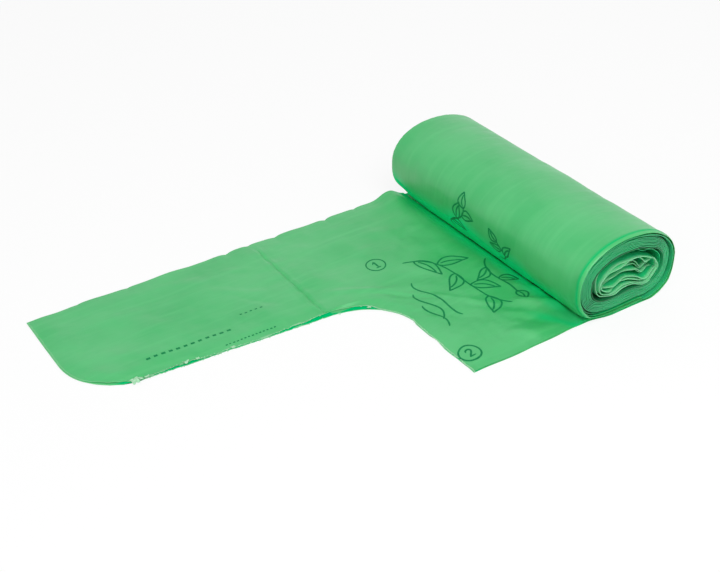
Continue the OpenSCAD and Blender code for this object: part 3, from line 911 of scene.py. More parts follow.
class BAG_OT_packed_turns(bpy.types.Operator):
    """Build the packed inner turns and the crumpled folds in the middle of the roll"""

    bl_idname = "bag.packed_turns"
    bl_label = "Packed Turns"

    def execute(self, context):
        web = film_web()
        section, ends = web.section, context.scene.bag_ends
        count = int((ends.last_turn - WALL_END) * TURN_STEPS)
        turns = np.linspace(WALL_END, ends.last_turn, count + 1)
        y, z = section.path(turns)
        level = section.level(turns)
        ny, nz = section.inward_normal(turns)
        set_in = mix(web.sizes.film_t, web.sizes.turn_film_t, ease(WALL_END, WALL_END + 0.1, turns)) / 2
        y, z = y + ny * set_in, z + nz * set_in
        edge = turn_edge(level, section.crevice + TAU * turns, ends)
        y, z, level, edge = self.join(section, y, z, level, edge, *middle_path(section))
        along = running_length(y, z)
        left, right = self.edges(section, ends, level, edge, along)
        reach = np.array(END_COLUMNS) * MM
        low = -web.half + web.roll.creep * 0.6 - left
        high = web.half + web.roll.creep * 0.6 + right
        x = np.concatenate([low[:, None] + reach, high[:, None] - reach[::-1]], axis=1)
        y, z = crush(x, y[:, None], z[:, None], level[:, None], web)
        points = np.stack([x, y, z], axis=-1)
        # Painted light: the loose inner folds are a little lighter and their edges light up; painted
        # shade darkens the two grooves
        rim = np.concatenate([reach, reach[::-1]])[None, :]
        loose = ease(GAP_LEVEL + 0.5, GAP_LEVEL + 1.2, level)[:, None]
        painted_edge_light = loose * mix(0.68, 0.2, ease(0.2 * MM, 2.2 * MM, rim)) * (1 - ease(3 * MM, 7 * MM, rim))
        groove_shade = bell((level - GROOVE_LEVEL) / 0.22) + 0.9 * bell((level - GAP_LEVEL + 0.1) / 0.2)
        light = 0.3 * ease(GAP_LEVEL - 0.3, GAP_LEVEL + 0.6, level) - groove_shade
        marks = {"torn_and_lit": painted_edge_light, "light_and_shade": np.repeat(light, points.shape[1])}
        film_sheet("packed_turns", points, web.sizes.turn_film_t, packed_material(), **marks)
        return {"FINISHED"}

    def join(self, section, y, z, level, edge, fold_y, fold_z, fold_back):
        """Leads the last turn over into the folds with a smooth curve."""
        steps = 14
        s = np.linspace(0, 1, steps + 2)[1:-1]
        ty, tz = y[-1] - y[-3], z[-1] - z[-3]
        fy, fz = fold_y[2] - fold_y[0], fold_z[2] - fold_z[0]
        span = math.hypot(fold_y[0] - y[-1], fold_z[0] - z[-1])
        t_in, t_out = span / math.hypot(ty, tz), span / math.hypot(fy, fz)
        # The weights of a cubic curve's two ends and of the directions there
        h00, h10 = 2 * s**3 - 3 * s**2 + 1, s**3 - 2 * s**2 + s
        h01, h11 = -2 * s**3 + 3 * s**2, s**3 - s**2
        jy = h00 * y[-1] + h10 * ty * t_in + h01 * fold_y[0] + h11 * fy * t_out
        jz = h00 * z[-1] + h10 * tz * t_in + h01 * fold_z[0] + h11 * fz * t_out
        edge = np.concatenate([edge, mix(edge[-1], -fold_back[0], s), -fold_back])
        level = np.concatenate([level, np.full(steps + len(fold_y), section.middle_level)])
        return np.concatenate([y, jy, fold_y]), np.concatenate([z, jz, fold_z]), level, edge

    def edges(self, section, ends, level, edge, along):
        """How far the film stands out at the left and the right end of the roll."""
        loose = mix(1, 5, ease(6, section.middle_level, level))
        fine = [uneven(along, 2.2 * MM, seed) for seed in (111, 112)]
        slow = [uneven(along, 13 * MM, seed) for seed in (113, 114)]
        jitter = [ends.ragged * (0.6 * f + loose * s) for f, s in zip(fine, slow)]
        return edge * 0.8 + jitter[0], edge + jitter[1]


class NodeTree:
    """Adds nodes to a tree. An input gets a plain value, or a link from another node's output."""

    def __init__(self, tree):
        self.nodes, self.links = tree.nodes, tree.links

    def feed(self, node, socket, value):
        """Sets an input, or links it."""
        if isinstance(value, bpy.types.NodeSocket):
            self.links.new(value, node.inputs[socket])
        else:
            node.inputs[socket].default_value = value

    def add(self, kind, output, inputs, **options):
        """Adds a node, and gives one of its outputs."""
        node = self.nodes.new(kind)
        for name, value in options.items():
            setattr(node, name, value)
        for socket, value in inputs.items():
            self.feed(node, socket, value)
        return node.outputs[output]

    def noise(self, source, scale, detail, stretch=(1, 1, 1)):
        """A noise texture, stretched along or across the film."""
        place = self.add("ShaderNodeMapping", "Vector", {"Vector": source, "Scale": stretch})
        inputs = {"Vector": place, "Scale": scale, "Detail": detail}
        return self.add("ShaderNodeTexNoise", "Fac", inputs)

    def map_range(self, source, low, high, to_low, to_high):
        """A source that is stretched from one range to another, and held to its ends."""
        inputs = {"From Min": low, "From Max": high, "To Min": to_low, "To Max": to_high}
        return self.add("ShaderNodeMapRange", "Result", {"Value": source, **inputs})

    def colour(self, share, below, above):
        """One colour laid over another. Each is an output or three numbers."""
        inputs = {"Factor": share}
        for socket, value in (("A", below), ("B", above)):
            inputs[socket] = value if isinstance(value, bpy.types.NodeSocket) else (*value, 1)
        return self.add("ShaderNodeMix", "Result", inputs, data_type="RGBA")

    def calculate(self, operation, a, b):
        """A number from two others."""
        return self.add("ShaderNodeMath", "Value", {0: a, 1: b}, operation=operation)

    def bump(self, heights):
        """Relief from pairs of an output and a height in millimetres, the coarsest one first."""
        below = {}
        for height, distance in heights:
            inputs = {"Strength": 1, "Distance": distance * MM, "Height": height, **below}
            below = {"Normal": self.add("ShaderNodeBump", "Normal", inputs)}
        return below["Normal"]


def principled(name, **values):
    """A new material with its node tree and its shader, whose plain inputs are set."""
    material = bpy.data.materials.new(name)
    material.use_nodes = True
    tree = NodeTree(material.node_tree)
    shader = tree.nodes["Principled BSDF"]
    for key, value in values.items():
        tree.feed(shader, key.replace("_", " "), value)
    return material, tree, shader


def film_look(name, film, film_pale, specular):
    """Thin satin film, with streaks along the web, faint clouds and pale torn edges, and with painted
    light and shade from the film's marks.
    """
    look = bpy.context.scene.bag_look
    material, tree, shader = principled(
        name,
        IOR=1.5,
        Subsurface_Weight=0.25,
        Subsurface_Radius=(0.25, 1, 0.45),
        Subsurface_Scale=1.2 * MM,
    )
    film_map = tree.add("ShaderNodeUVMap", "UV", {}, uv_map="film")
    clouds = tree.noise(film_map, 28, 3)
    streaks = tree.noise(film_map, 260, 3, (1, 0.06, 1))
    wrinkles = tree.noise(film_map, 120, 4, (1, 0.45, 1))
    grain = tree.noise(film_map, 900, 2, (1, 0.5, 1))
    torn_and_lit, light_and_shade, lit_alone = (
        tree.add("ShaderNodeAttribute", "Fac", {}, attribute_name=mark) for mark in MARKS
    )
    # Each layer's source, the range that counts, the share at its two ends, and its colour
    layers = (
        (clouds, 0.35, 0.65, 0.1, 0.7, film_pale),
        (streaks, 0.5, 0.75, 0, 0.6, film_pale),
        # Painted light on a leaf that lies alone, and along the fold near the crevice
        (lit_alone, 0, 1, 0, 1, look.film_lit_alone),
        # Painted light coming through the film
        (light_and_shade, 0, 1, 0, 1, look.film_lit_through),
        # Painted shadow under the roll
        (light_and_shade, 0, -1, 0, 0.9, look.film_shadow),
        # Pale torn film, and painted light in the edges of the packed turns' folds
        (torn_and_lit, 0.25, 1, 0, 0.75, look.torn_and_lit_colour),
    )
    colour = film
    for *ranges, above in layers:
        colour = tree.colour(tree.map_range(*ranges), colour, above)
    tree.feed(shader, "Base Color", colour)
    # Where light is painted as coming through the film, its gloss is taken away too
    lit = tree.calculate("MAXIMUM", light_and_shade, lit_alone)
    tree.feed(shader, "Specular IOR Level", tree.map_range(lit, 0, 0.8, specular, 0))
    tree.feed(shader, "Roughness", tree.map_range(streaks, 0.3, 0.7, 0.32, 0.48))
    tree.feed(shader, "Normal", tree.bump(((wrinkles, 0.42), (streaks, 0.025), (grain, 0.01))))
    return material


def cloudy_look(name, colours, scale, high, share, relief, **values):
    """One colour with faint clouds of another, and a little relief."""
    material, tree, shader = principled(name, **values)
    place = tree.add("ShaderNodeTexCoord", "Object", {})
    clouds = tree.noise(place, scale, 3)
    share = tree.map_range(clouds, 0.35, high, 0, share)
    tree.feed(shader, "Base Color", tree.colour(share, *colours))
    tree.feed(shader, "Normal", tree.bump([(clouds, relief)]))
    return material


def film_material():
    """The film of the loose end and the outer turn."""
    look = bpy.context.scene.bag_look
    name = "green_film"
    return bpy.data.materials.get(name) or film_look(name, look.film, look.film_pale, 0.65)


def packed_material():
    """The film of the packed turns, darker because it lies in many layers."""
    look = bpy.context.scene.bag_look
    return film_look("packed_film", look.packed, look.packed_pale, 0.5)


def print_material():
    """Printed ink: darker green than the film, with a slightly uneven cover."""
    look = bpy.context.scene.bag_look
    name, values = "green_ink", {"Roughness": 0.5, "Specular_IOR_Level": 0.15}
    return bpy.data.materials.get(name) or cloudy_look(
        name, (look.ink, look.film), 700, 0.75, 0.35, 0.01, **values
    )


def torn_material():
    """Film that tearing has stretched pale and dull."""
    look = bpy.context.scene.bag_look
    return cloudy_look("torn_film", (look.torn_and_lit_colour, look.film_pale), 600, 0.65, 0.6, 0.05, Roughness=0.55)


class FilmSurface:
    """Finds the film's outer side, so that the print can lie on it."""

    # Where rays start: above the loose end, and in millimetres in front of the wall
    ABOVE = 0.2
    IN_FRONT = 6
    # The print on the wall starts this far above the loose end, measured along the film
    LOWEST = 0.2 * MM

    def __init__(self, section):
        self.section = section
        self.lead = self.tree("loose_end")
        self.wall = self.tree("outer_turn")
        self.turns = np.linspace(KEEL_TURN, 0.4, 601)
        y, z = section.path(self.turns)
        self.up = running_length(y, z)

    def tree(self, name):
        """The faces of a piece, for rays to meet."""
        mesh = bpy.data.objects[name].data
        faces = [list(face.vertices) for face in mesh.polygons]
        return BVHTree.FromPolygons([vertex.co for vertex in mesh.vertices], faces)

    def on_lead(self, x, y):
        """A place and its upward normal on the loose end, or None beside it."""
        above, down = Vector((x, y, self.ABOVE)), Vector((0, 0, -1))
        place, normal, _, _ = self.lead.ray_cast(above, down)
        return None if place is None else (place, normal)

    def on_wall(self, x, up):
        """A place and its outward normal on the roll's front, at a height along the film."""
        if up < self.LOWEST:
            return None
        turn = float(np.interp(up, self.up, self.turns))
        y, z = (float(v) for v in self.section.path(turn))
        ny, nz = (float(v) for v in self.section.inward_normal(turn))
        inward = Vector((0, ny, nz))
        start = Vector((x, y, z)) - inward * self.IN_FRONT * MM
        place, normal, _, _ = self.wall.ray_cast(start, inward)
        return None if place is None else (place, normal)


def curve_points(points, step):
    """A smooth line through the points of a quadratic or cubic curve, in even steps."""
    points = np.array(points, float)
    s = np.linspace(0, 1, 60)[:, None]
    order = len(points) - 1
    line = sum(math.comb(order, k) * s**k * (1 - s) ** (order - k) * points[k] for k in range(order + 1))
    return dense_line(line, step)


def leaf_lines(base, angle, length, width):
    """A leaf's outline and its middle vein."""
    s = np.linspace(0, 1, 22)
    half = width / 2 * np.sin(math.pi * s**0.8) * (1 - 0.25 * s)
    along = np.array([math.cos(angle), math.sin(angle)])
    across = np.array([-along[1], along[0]])
    bow = 0.12 * length * np.sin(math.pi * s)
    side = [base + np.outer(s * length, along) + np.outer(bow + k * half, across) for k in (1, -1)]
    vein = base + np.outer(s * length * 0.82, along) + np.outer(bow * 0.9, across)
    return [np.concatenate([side[0], side[1][::-1]]), vein[3:]]


def sprig_lines(stem, leaves, length, width):
    """A stem with leaves on alternate sides, and one at its tip, as lines in millimetres."""
    tip, spread = 0.97, math.radians(48)
    line = curve_points(stem, 1.0)
    lines = [line]
    for count, share in enumerate(leaves):
        at = min(int(share * (len(line) - 1)), len(line) - 2)
        direction = math.atan2(*(line[at + 1] - line[at])[::-1])
        turn = spread * (1 if count % 2 else -1) if share < tip else 0
        lines += leaf_lines(line[at], direction + turn, length * (1 - 0.3 * share), width)
    return lines


def ring_lines(centre, radius):
    """A circle as one closed line."""
    angle = np.linspace(0, TAU, 49)
    return [np.array(centre) + radius * np.stack([np.cos(angle), np.sin(angle)], axis=1)]


def digit_lines(centre, strokes, size):
    """A digit that is read with its top towards the fold of the web."""
    x, y = centre
    return [np.array([(x - v * size, y + u * size) for u, v in stroke]) for stroke in strokes]


# The strokes of the two digits, across and up from their middle, with half a digit as the unit
DIGIT_ONE = [
    [(-0.5, 0.45), (-0.2, 0.66), (0.08, 1.0), (0.08, 0.3), (0.08, -1.0)],
    [(-0.5, -1), (0, -1), (0.62, -1)],
]
DIGIT_TWO = [
    [(-0.6, 0.45), (-0.42, 0.85), (0, 1), (0.42, 0.85), (0.56, 0.45), (0.3, 0), (-0.6, -0.95)],
    [(-0.6, -0.95), (0, -0.95), (0.66, -0.95)],
]


# Distance of the points along a line of ink, in millimetres, and the ink's top and foot from
# the film's own surface
INK_STEP = 0.45
INK_TOP = 0.05 * MM
INK_FOOT = -0.04 * MM


def ink_ribbons(lines, width, place, verts, faces):
    """Adds thin closed ribbons of ink along the lines. place finds the film under a point."""
    for line in lines:
        found = [place(x * MM, y * MM) for x, y in dense_line(line, INK_STEP)]
        run = []
        for hit in found + [None]:
            if hit is not None:
                run.append(hit)
                continue
            if len(run) > 2:
                ribbon(run, width * MM, verts, faces)
            run = []


def dense_line(line, step):
    """The same line with its points in even steps."""
    length = running_length(*line.T)
    even = np.linspace(0, length[-1], max(3, int(length[-1] / step) + 1))
    return np.stack([np.interp(even, length, line[:, k]) for k in (0, 1)], axis=1)


def ribbon(run, width, verts, faces):
    """One ribbon with four corners at each step, and a narrower start and end."""
    places = np.array([tuple(p) for p, _ in run])
    normals = np.array([tuple(n) for _, n in run])
    closed = np.linalg.norm(places[0] - places[-1]) < 0.3 * width
    along = np.gradient(places, axis=0)
    side = np.cross(normals, along)
    side /= np.maximum(np.linalg.norm(side, axis=1, keepdims=True), 1e-9)
    s = np.arange(len(run)) * np.linalg.norm(along, axis=1).mean()
    taper = np.ones(len(run)) if closed else np.clip(0.45 + np.minimum(s, s[-1] - s) / (2.2 * MM), 0, 1)
    half = side * (width / 2 * taper)[:, None]
    first = len(verts)
    for offset, lift in ((half, INK_TOP), (-half, INK_TOP), (-half, INK_FOOT), (half, INK_FOOT)):
        verts.append(places + offset + normals * lift)
    count = len(run)
    base = sum(len(v) for v in verts[:first])
    index = base + np.arange(4)[:, None] * count + np.arange(count)[None, :]
    for k in range(4):
        a, b = index[k], index[(k + 1) % 4]
        faces += np.stack([a[:-1], b[:-1], b[1:], a[1:]], axis=1).tolist()
    faces += [index[:, 0][::-1].tolist(), index[:, -1].tolist()]


def plain_object(name, verts, faces, material):
    """A piece from lists of points and faces, with its faces turned outwards."""
    mesh = bpy.data.meshes.new(name)
    mesh.from_pydata(np.concatenate(verts).tolist(), [], faces)
    mesh.materials.append(material)
    bm = bmesh.new()
    bm.from_mesh(mesh)
    bmesh.ops.recalc_face_normals(bm, faces=bm.faces)
    bm.to_mesh(mesh)
    bm.free()
    obj = link_object(name, mesh)
    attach(obj, BODY)


class BAG_OT_print(bpy.types.Operator):
    """Lay the print on the film: two numbered circles and a pattern of leaf sprigs and waves"""

    bl_idname = "bag.print"
    bl_label = "Print"

    # Everything is in millimetres: x and y on the loose end, x and the height on the wall
    DIGIT_SIZE = 2.5
    # Each circle's centre, radius and line width, and its digit with the width of its line
    CIRCLES = (
        ((-20.5, -75.5), 4.9, 0.75, DIGIT_ONE, 0.95),
        ((61.0, -80.9), 5.2, 0.95, DIGIT_TWO, 1.0),
    )
    # Each sprig's stem, the places of its leaves along it, and a leaf's length and width
    SPRIGS = (
        (((-14, -64), (-6, -34), (20, -58), (42, -40)), (0.1, 0.28, 0.46, 0.64, 0.82), 18, 8),
        (((6, -27), (14, -38), (26, -30), (37, -32)), (0.3, 0.6, 0.97), 12, 6),
    )
    WALL_SPRIGS = (
        (((-20, 6), (-28, 12), (-6, 14), (-10, 24)), (0.3, 0.55, 0.78, 0.98), 12, 6),
        (((16, 6), (28, 9), (16, 18)), (0.5, 0.75, 0.98), 11, 5),
    )
    WAVES = (
        ((2, -70), (10, -77), (18, -57), (28, -72), (36, -65)),
        ((10, -75), (18, -80), (25, -64), (34, -75)),
        ((20, -77), (26, -80), (32, -70), (40, -76)),
    )

    def execute(self, context):
        surface = FilmSurface(film_web().section)
        verts, faces = [], []
        for centre, radius, ring_width, digit, width in self.CIRCLES:
            ink_ribbons(ring_lines(centre, radius), ring_width, surface.on_lead, verts, faces)
            lines = digit_lines(centre, digit, self.DIGIT_SIZE)
            ink_ribbons(lines, width, surface.on_lead, verts, faces)
        lines = [line for sprig in self.SPRIGS for line in sprig_lines(*sprig)]
        lines += [curve_points(wave, 1.0) for wave in self.WAVES]
        ink_ribbons(lines, 0.92, surface.on_lead, verts, faces)
        lines = [line for sprig in self.WALL_SPRIGS for line in sprig_lines(*sprig)]
        ink_ribbons(lines, 0.9, surface.on_wall, verts, faces)
        plain_object("print", verts, faces, print_material())
        return {"FINISHED"}


# The inputs that give a bit's size
BIT_SIZES = ("Length", "Width", "Thickness")


def row_tree(name, bit):
    """Geometry nodes that set small bits along a line, with the sizes as named inputs."""
    group = bpy.data.node_groups.new(name, "GeometryNodeTree")
    face, tree = group.interface, NodeTree(group)
    face.new_socket("Line", in_out="INPUT", socket_type="NodeSocketGeometry")
    for label in ("Spacing", *BIT_SIZES, "Scatter"):
        face.new_socket(label, in_out="INPUT", socket_type="NodeSocketFloat").default_value = MM
    face.new_socket("Seed", in_out="INPUT", socket_type="NodeSocketInt")
    face.new_socket("Material", in_out="INPUT", socket_type="NodeSocketMaterial")
    face.new_socket("Geometry", in_out="OUTPUT", socket_type="NodeSocketGeometry")
    given = tree.nodes.new("NodeGroupInput").outputs
    curve = tree.add("GeometryNodeMeshToCurve", "Curve", {"Mesh": given["Line"]})
    inputs = {"Curve": curve, "Length": given["Spacing"]}
    line = tree.add("GeometryNodeResampleCurve", "Curve", inputs, mode="LENGTH")
    inputs = {axis: given[label] for axis, label in zip("XYZ", BIT_SIZES)}
    size = tree.add("ShaderNodeCombineXYZ", "Vector", inputs)
    if bit == "dash":
        part = tree.add("GeometryNodeMeshCube", "Mesh", {"Size": size})
    else:
        ball = tree.add("GeometryNodeMeshIcoSphere", "Mesh", {"Radius": 0.5})
        part = tree.add("GeometryNodeTransform", "Geometry", {"Geometry": ball, "Scale": size})
    # A bit lies along the line, and its top faces away from the film
    tangent = tree.add("GeometryNodeInputTangent", "Tangent", {})
    align = "FunctionNodeAlignRotationToVector"
    lie = tree.add(align, "Rotation", {"Vector": tangent}, axis="X")
    attribute = "GeometryNodeInputNamedAttribute"
    up = tree.add(attribute, "Attribute", {"Name": "up"}, data_type="FLOAT_VECTOR")
    inputs = {"Rotation": lie, "Vector": up}
    stand = tree.add(align, "Rotation", inputs, axis="Z", pivot_axis="X")
    # The bits' sizes and places are uneven
    low = (0.8, 0.9, 0.9) if bit == "dash" else (0.45, 0.5, 0.9)
    scale, away = (
        tree.add(
            "FunctionNodeRandomValue",
            "Value",
            {"Min": least, "Max": most, "Seed": given["Seed"]},
            data_type="FLOAT_VECTOR",
        )
        for least, most in ((low, (1, 1, 1.1)), ((-1, -1, -0.1), (1, 1, 0.3)))
    )
    inputs = {0: away, "Scale": given["Scatter"]}
    offset = tree.add("ShaderNodeVectorMath", "Vector", inputs, operation="SCALE")
    inputs = {"Geometry": line, "Offset": offset}
    points = tree.add("GeometryNodeSetPosition", "Geometry", inputs)
    inputs = {"Points": points, "Instance": part, "Rotation": stand, "Scale": scale}
    bits = tree.add("GeometryNodeInstanceOnPoints", "Instances", inputs)
    real = tree.add("GeometryNodeRealizeInstances", "Geometry", {"Geometry": bits})
    inputs = {"Geometry": real, "Material": given["Material"]}
    done = tree.add("GeometryNodeSetMaterial", "Geometry", inputs)
    tree.feed(tree.nodes.new("NodeGroupOutput"), "Geometry", done)
    return group


def line_object(name, runs):
    """Lines as a mesh of edges, each point with the direction away from the film."""
    verts, edges, ups = [], [], []
    for run in runs:
        first = len(verts)
        verts += [tuple(p) for p, _ in run]
        ups += [tuple(n) for _, n in run]
        edges += [(k, k + 1) for k in range(first, len(verts) - 1)]
    mesh = bpy.data.meshes.new(name)
    mesh.from_pydata(verts, edges, [])
    up = mesh.attributes.new("up", "FLOAT_VECTOR", "POINT")
    up.data.foreach_set("vector", np.array(ups, np.float32).ravel())
    return link_object(name, mesh)


def row_piece(name, runs, bit, material, seed, **sizes):
    """Sets bits along the lines with geometry nodes, and keeps the result as a plain mesh. The
    sizes are the tree's inputs, in millimetres."""
    obj = line_object(name, runs)
    tree = row_tree(name + "_nodes", bit)
    modifier = obj.modifiers.new("rows", "NODES")
    modifier.node_group = tree
    values = {label: size * MM for label, size in sizes.items()}
    values.update(Seed=seed, Material=material)
    for item in tree.interface.items_tree:
        if item.in_out == "INPUT" and item.name in values:
            modifier[item.identifier] = values[item.name]
    bpy.context.view_layer.update()
    shown = obj.evaluated_get(bpy.context.evaluated_depsgraph_get())
    mesh = bpy.data.meshes.new_from_object(shown)
    obj.modifiers.remove(modifier)
    obj.data = mesh
    if not mesh.polygons:
        raise RuntimeError(name + " came out empty")
    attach(obj, BODY)


class BAG_OT_dash_rows(bpy.types.Operator):
    """Set plain printed dashes in rows along the handle"""

    bl_idname = "bag.dash_rows"
    bl_label = "Dash Rows"

    # Start and end of each row, in millimetres, with the dashes' spacing and height
    ROWS = (
        ((-15.5, -202), (-14.5, -162), 3.4, 1.3),
        ((-5.6, -168), (-5.0, -143), 1.8, 0.7),
        ((-21.8, -151.5), (-21.2, -141), 2.2, 0.8),
    )

    def execute(self, context):
        surface = FilmSurface(film_web().section)
        for count, (start, end, spacing, height) in enumerate(self.ROWS):
            line = dense_line(np.array([start, end], float), 1.0)
            run = [surface.on_lead(x * MM, y * MM) for x, y in line]
            row_piece(
                f"dash_row_{count + 1}",
                [[hit for hit in run if hit is not None]],
                "dash",
                print_material(),
                count + 3,
                Spacing=spacing,
                Length=0.62 * spacing,
                Width=height,
                Thickness=0.1,
                Scatter=0.08,
            )
        return {"FINISHED"}


class BAG_OT_torn_edge(bpy.types.Operator):
    """Add the torn film along the handle: tiny perforation bits and a few crumpled tabs"""

    bl_idname = "bag.torn_edge"
    bl_label = "Torn Edge"

    # Distance of the places along an edge from each other
    STEP = 0.8 * MM
    # Place along the cut edge, length and width of each crumpled tab, in millimetres
    TABS = (
        (-213.0, 4.6, 3.4),
        (-210.2, 2.4, 1.6),
        (-207.6, 2.0, 1.2),
        (-188.7, 2.6, 1.9),
        (-183.2, 1.7, 1.3),
        (-166.5, 2.2, 1.5),
        (-112.5, 1.6, 1.1),
        (-98.0, 1.8, 1.2),
    )

    def execute(self, context):
        web = film_web()
        self.tabs(web)
        runs = [self.edge_run(web, leaf) for leaf in (0, 1)] + [self.mouth_run(web)]
        sizes = {"Spacing": 1.5, "Length": 1.0, "Width": 0.6, "Thickness": 0.2, "Scatter": 0.4}
        row_piece("perforation_bits", runs, "crumb", torn_material(), 7, **sizes)
        return {"FINISHED"}

    def place(self, web, x, y, leaf, lift):
        """A place on a leaf, whose x counts from the fold, and the way up from it."""
        z = float(web.lead_height(x, np.array(y), leaf, leaf)) + lift
        return Vector((float(x) - web.half, float(y), z)), Vector((0, 0, 1))

    def edge_run(self, web, leaf):
        """Places along the handle's cut edge."""
        start = -web.loose.mouth_y - web.loose.handle_len + web.loose.corner_r
        lift = web.sizes.film_t / 2 * leaf
        ys = np.arange(start, web.root_y, self.STEP)
        return [self.place(web, web.cut_width(y, leaf), y, leaf, lift) for y in ys]

    def mouth_run(self, web):
        """Places along the mouth."""
        xs = np.arange(web.loose.handle_w + 1 * MM, web.sizes.width, self.STEP)
        return [self.place(web, x, float(web.mouth_cut_y(x, 1)), 1, 0) for x in xs]

    def tabs(self, web):
        """Makes the tabs. u runs along the edge and v out from it."""
        rows, cols = 15, 11
        u, v = np.meshgrid(np.linspace(0, 1, rows), np.linspace(0, 1, cols), indexing="ij")
        points, quads = [], []
        for count, sizes in enumerate(self.TABS):
            place_y, length, width = np.multiply(sizes, MM)
            if place_y < web.root_y:
                edge = float(web.cut_width(place_y, 1)) - web.half
            else:
                edge = web.loose.handle_w - web.half + max(0, (place_y - web.root_y) * 0.25)
            seed = 200 + 7 * count
            fold = crinkle(u * 9, v * 9, 7, seed)
            x = edge + (v - 0.55) * width + 0.16 * width * crinkle(u * 8, v * 8, 8, seed + 1)
            narrower = 1 - 0.35 * v
            y = place_y + (u - 0.5) * length * narrower
            y = y + 0.12 * length * crinkle(u * 8, v * 8, 9, seed + 2)
            z = float(web.lead_height(edge + web.half, np.array(place_y), 1, 1)) + 0.25 * MM
            z = z + 0.3 * width * np.abs(fold) * (0.3 + v) * (1 - 0.6 * v * v)
            quads.append(grid_quads(rows, cols) + count * rows * cols)
            points.append(np.stack([x, y, z], axis=-1).reshape(-1, 3))
        points, quads = np.concatenate(points), np.concatenate(quads)
        marks = {"torn_and_lit": np.ones(len(points))}
        material = film_material()
        film_piece(
            sheet_object("torn_tabs", points, quads, 0.1 * MM, material, points[:, :2], **marks)
        )


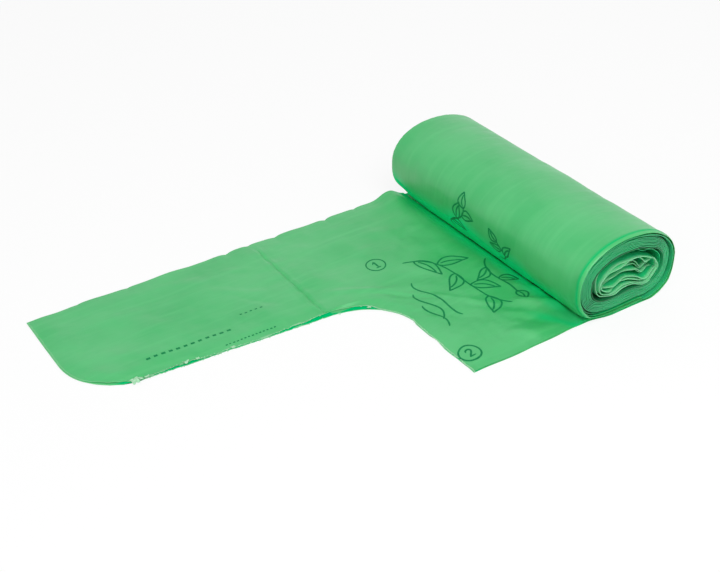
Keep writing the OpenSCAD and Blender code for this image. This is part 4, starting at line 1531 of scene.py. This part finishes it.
class BAG_OT_stage(bpy.types.Operator):
    """Set up the pale floor, the soft studio light and the camera"""

    bl_idname = "bag.stage"
    bl_label = "Stage"

    # Half the floor's width
    FLOOR_REACH = 3.0
    # The floor lies this far below the object's lowest place
    FLOOR_DROP = 0.1 * MM
    FLOOR_COLOUR = (0.88, 0.88, 0.88, 1)
    # The share of white that the camera sees on the floor, so that the object's shadow stays
    FLOOR_WHITE = 0.85
    # The world's light on the object
    WORLD_STRENGTH = 0.52
    LAMP_TARGET = Vector((0, -0.04, 0.01))
    # Each lamp's name, place, width and power
    LAMPS = (
        ("high_lamp", (0.46, -0.16, 0.75), 0.7, 4.8),
        ("low_lamp", (0.55, -0.71, 0.44), 0.7, 1.9),
        ("back_lamp", (-0.58, 0.58, 0.574), 1.3, 0.6),
    )
    # The camera stands where the photograph was taken from
    CAMERA_PLACE = (0.3708, -0.3509, 0.3203)
    CAMERA_TURN = (math.radians(90 - 34.72), 0, math.radians(55.80))
    CAMERA_LENS = 57.78
    SENSOR_WIDTH = 36.0

    def execute(self, context):
        self.floor()
        self.world(context.scene)
        for lamp in self.LAMPS:
            self.lamp(*lamp)
        self.camera(context.scene)
        context.scene.view_settings.view_transform = "Standard"
        return {"FINISHED"}

    def floor(self):
        """A flat floor that looks nearly white, and keeps the object's shadow."""
        reach = self.FLOOR_REACH
        mesh = bpy.data.meshes.new("floor")
        sides = ((-reach, -reach), (reach, -reach), (reach, reach), (-reach, reach))
        corners = [(x, y, -self.FLOOR_DROP) for x, y in sides]
        mesh.from_pydata(corners, [], [(0, 1, 2, 3)])
        material, tree, shader = principled(
            "pale_floor", Base_Color=self.FLOOR_COLOUR, Roughness=0.9, Specular_IOR_Level=0.1
        )
        white = tree.add("ShaderNodeEmission", "Emission", {"Strength": 1})
        shown = self.whitened(tree, shader.outputs["BSDF"], white, self.FLOOR_WHITE)
        tree.feed(tree.nodes["Material Output"], "Surface", shown)
        mesh.materials.append(material)
        link_object("floor", mesh)

    def whitened(self, tree, plain, white, share):
        """Mixes in white, for rays from the camera and those that gloss and glass send on."""
        path = tree.nodes.new("ShaderNodeLightPath").outputs
        seen = tree.calculate("MAXIMUM", path["Is Camera Ray"], path["Is Glossy Ray"])
        seen = tree.calculate("MAXIMUM", seen, path["Is Transmission Ray"])
        inputs = {"Fac": tree.calculate("MULTIPLY", seen, share), 1: plain, 2: white}
        return tree.add("ShaderNodeMixShader", "Shader", inputs)

    def world(self, scene):
        """Even light from all sides, in front of which the background is white."""
        scene.world = bpy.data.worlds.new("studio")
        scene.world.use_nodes = True
        tree = NodeTree(scene.world.node_tree)
        plain, white = (
            tree.add("ShaderNodeBackground", "Background", {"Color": (1, 1, 1, 1), "Strength": strength})
            for strength in (self.WORLD_STRENGTH, 1)
        )
        shown = self.whitened(tree, plain, white, 1)
        tree.feed(tree.nodes["World Output"], "Surface", shown)

    def lamp(self, name, place, size, power):
        """A round lamp that is turned towards the object."""
        data = bpy.data.lights.new(name, "AREA")
        data.shape = "DISK"
        data.size = size
        data.energy = power
        obj = link_object(name, data)
        obj.location = place
        obj.rotation_euler = (self.LAMP_TARGET - Vector(place)).to_track_quat("-Z", "Y").to_euler()

    def camera(self, scene):
        """The camera that the scene is seen through."""
        data = bpy.data.cameras.new("camera")
        data.sensor_width = self.SENSOR_WIDTH
        data.lens = self.CAMERA_LENS
        data.clip_start, data.clip_end = 0.01, 20
        obj = link_object("camera", data)
        obj.location = self.CAMERA_PLACE
        obj.rotation_euler = self.CAMERA_TURN
        scene.camera = obj


class BAG_PT_panel(bpy.types.Panel):
    """Lists the sizes and the steps of the roll"""

    bl_idname = "BAG_PT_panel"
    bl_label = "Bin Bag Roll"
    bl_space_type = "VIEW_3D"
    bl_region_type = "UI"
    bl_category = "Bag Roll"

    def draw(self, context):
        layout = self.layout
        for name in SETTINGS:
            group = getattr(context.scene, name)
            box = layout.box()
            box.label(text=type(group).__doc__ or name)
            for key in type(group).__annotations__:
                box.prop(group, key)
        for operator in OPERATORS:
            layout.operator(operator.bl_idname)


SETTINGS = {
    "bag_web": WebSettings,
    "bag_roll": RollSettings,
    "bag_ends": EndSettings,
    "bag_loose": LooseSettings,
    "bag_look": LookSettings,
}
OPERATORS = (
    BAG_OT_loose_end,
    BAG_OT_outer_turn,
    BAG_OT_packed_turns,
    BAG_OT_print,
    BAG_OT_dash_rows,
    BAG_OT_torn_edge,
    BAG_OT_stage,
)
CLASSES = (*SETTINGS.values(), *OPERATORS, BAG_PT_panel)


def register():
    """Makes the classes known to Blender, and gives each scene its settings."""
    for cls in CLASSES:
        bpy.utils.register_class(cls)
    for name, cls in SETTINGS.items():
        setattr(bpy.types.Scene, name, PointerProperty(type=cls))


def unregister():
    """Takes back what register has done."""
    for name in SETTINGS:
        delattr(bpy.types.Scene, name)
    for cls in reversed(CLASSES):
        bpy.utils.unregister_class(cls)


def main():
    """Builds every piece and the stage."""
    register()
    bpy.ops.bag.loose_end()
    bpy.ops.bag.outer_turn()
    bpy.ops.bag.packed_turns()
    bpy.ops.bag.print()
    bpy.ops.bag.dash_rows()
    bpy.ops.bag.torn_edge()
    bpy.ops.bag.stage()


if __name__ == "__main__":
    main()
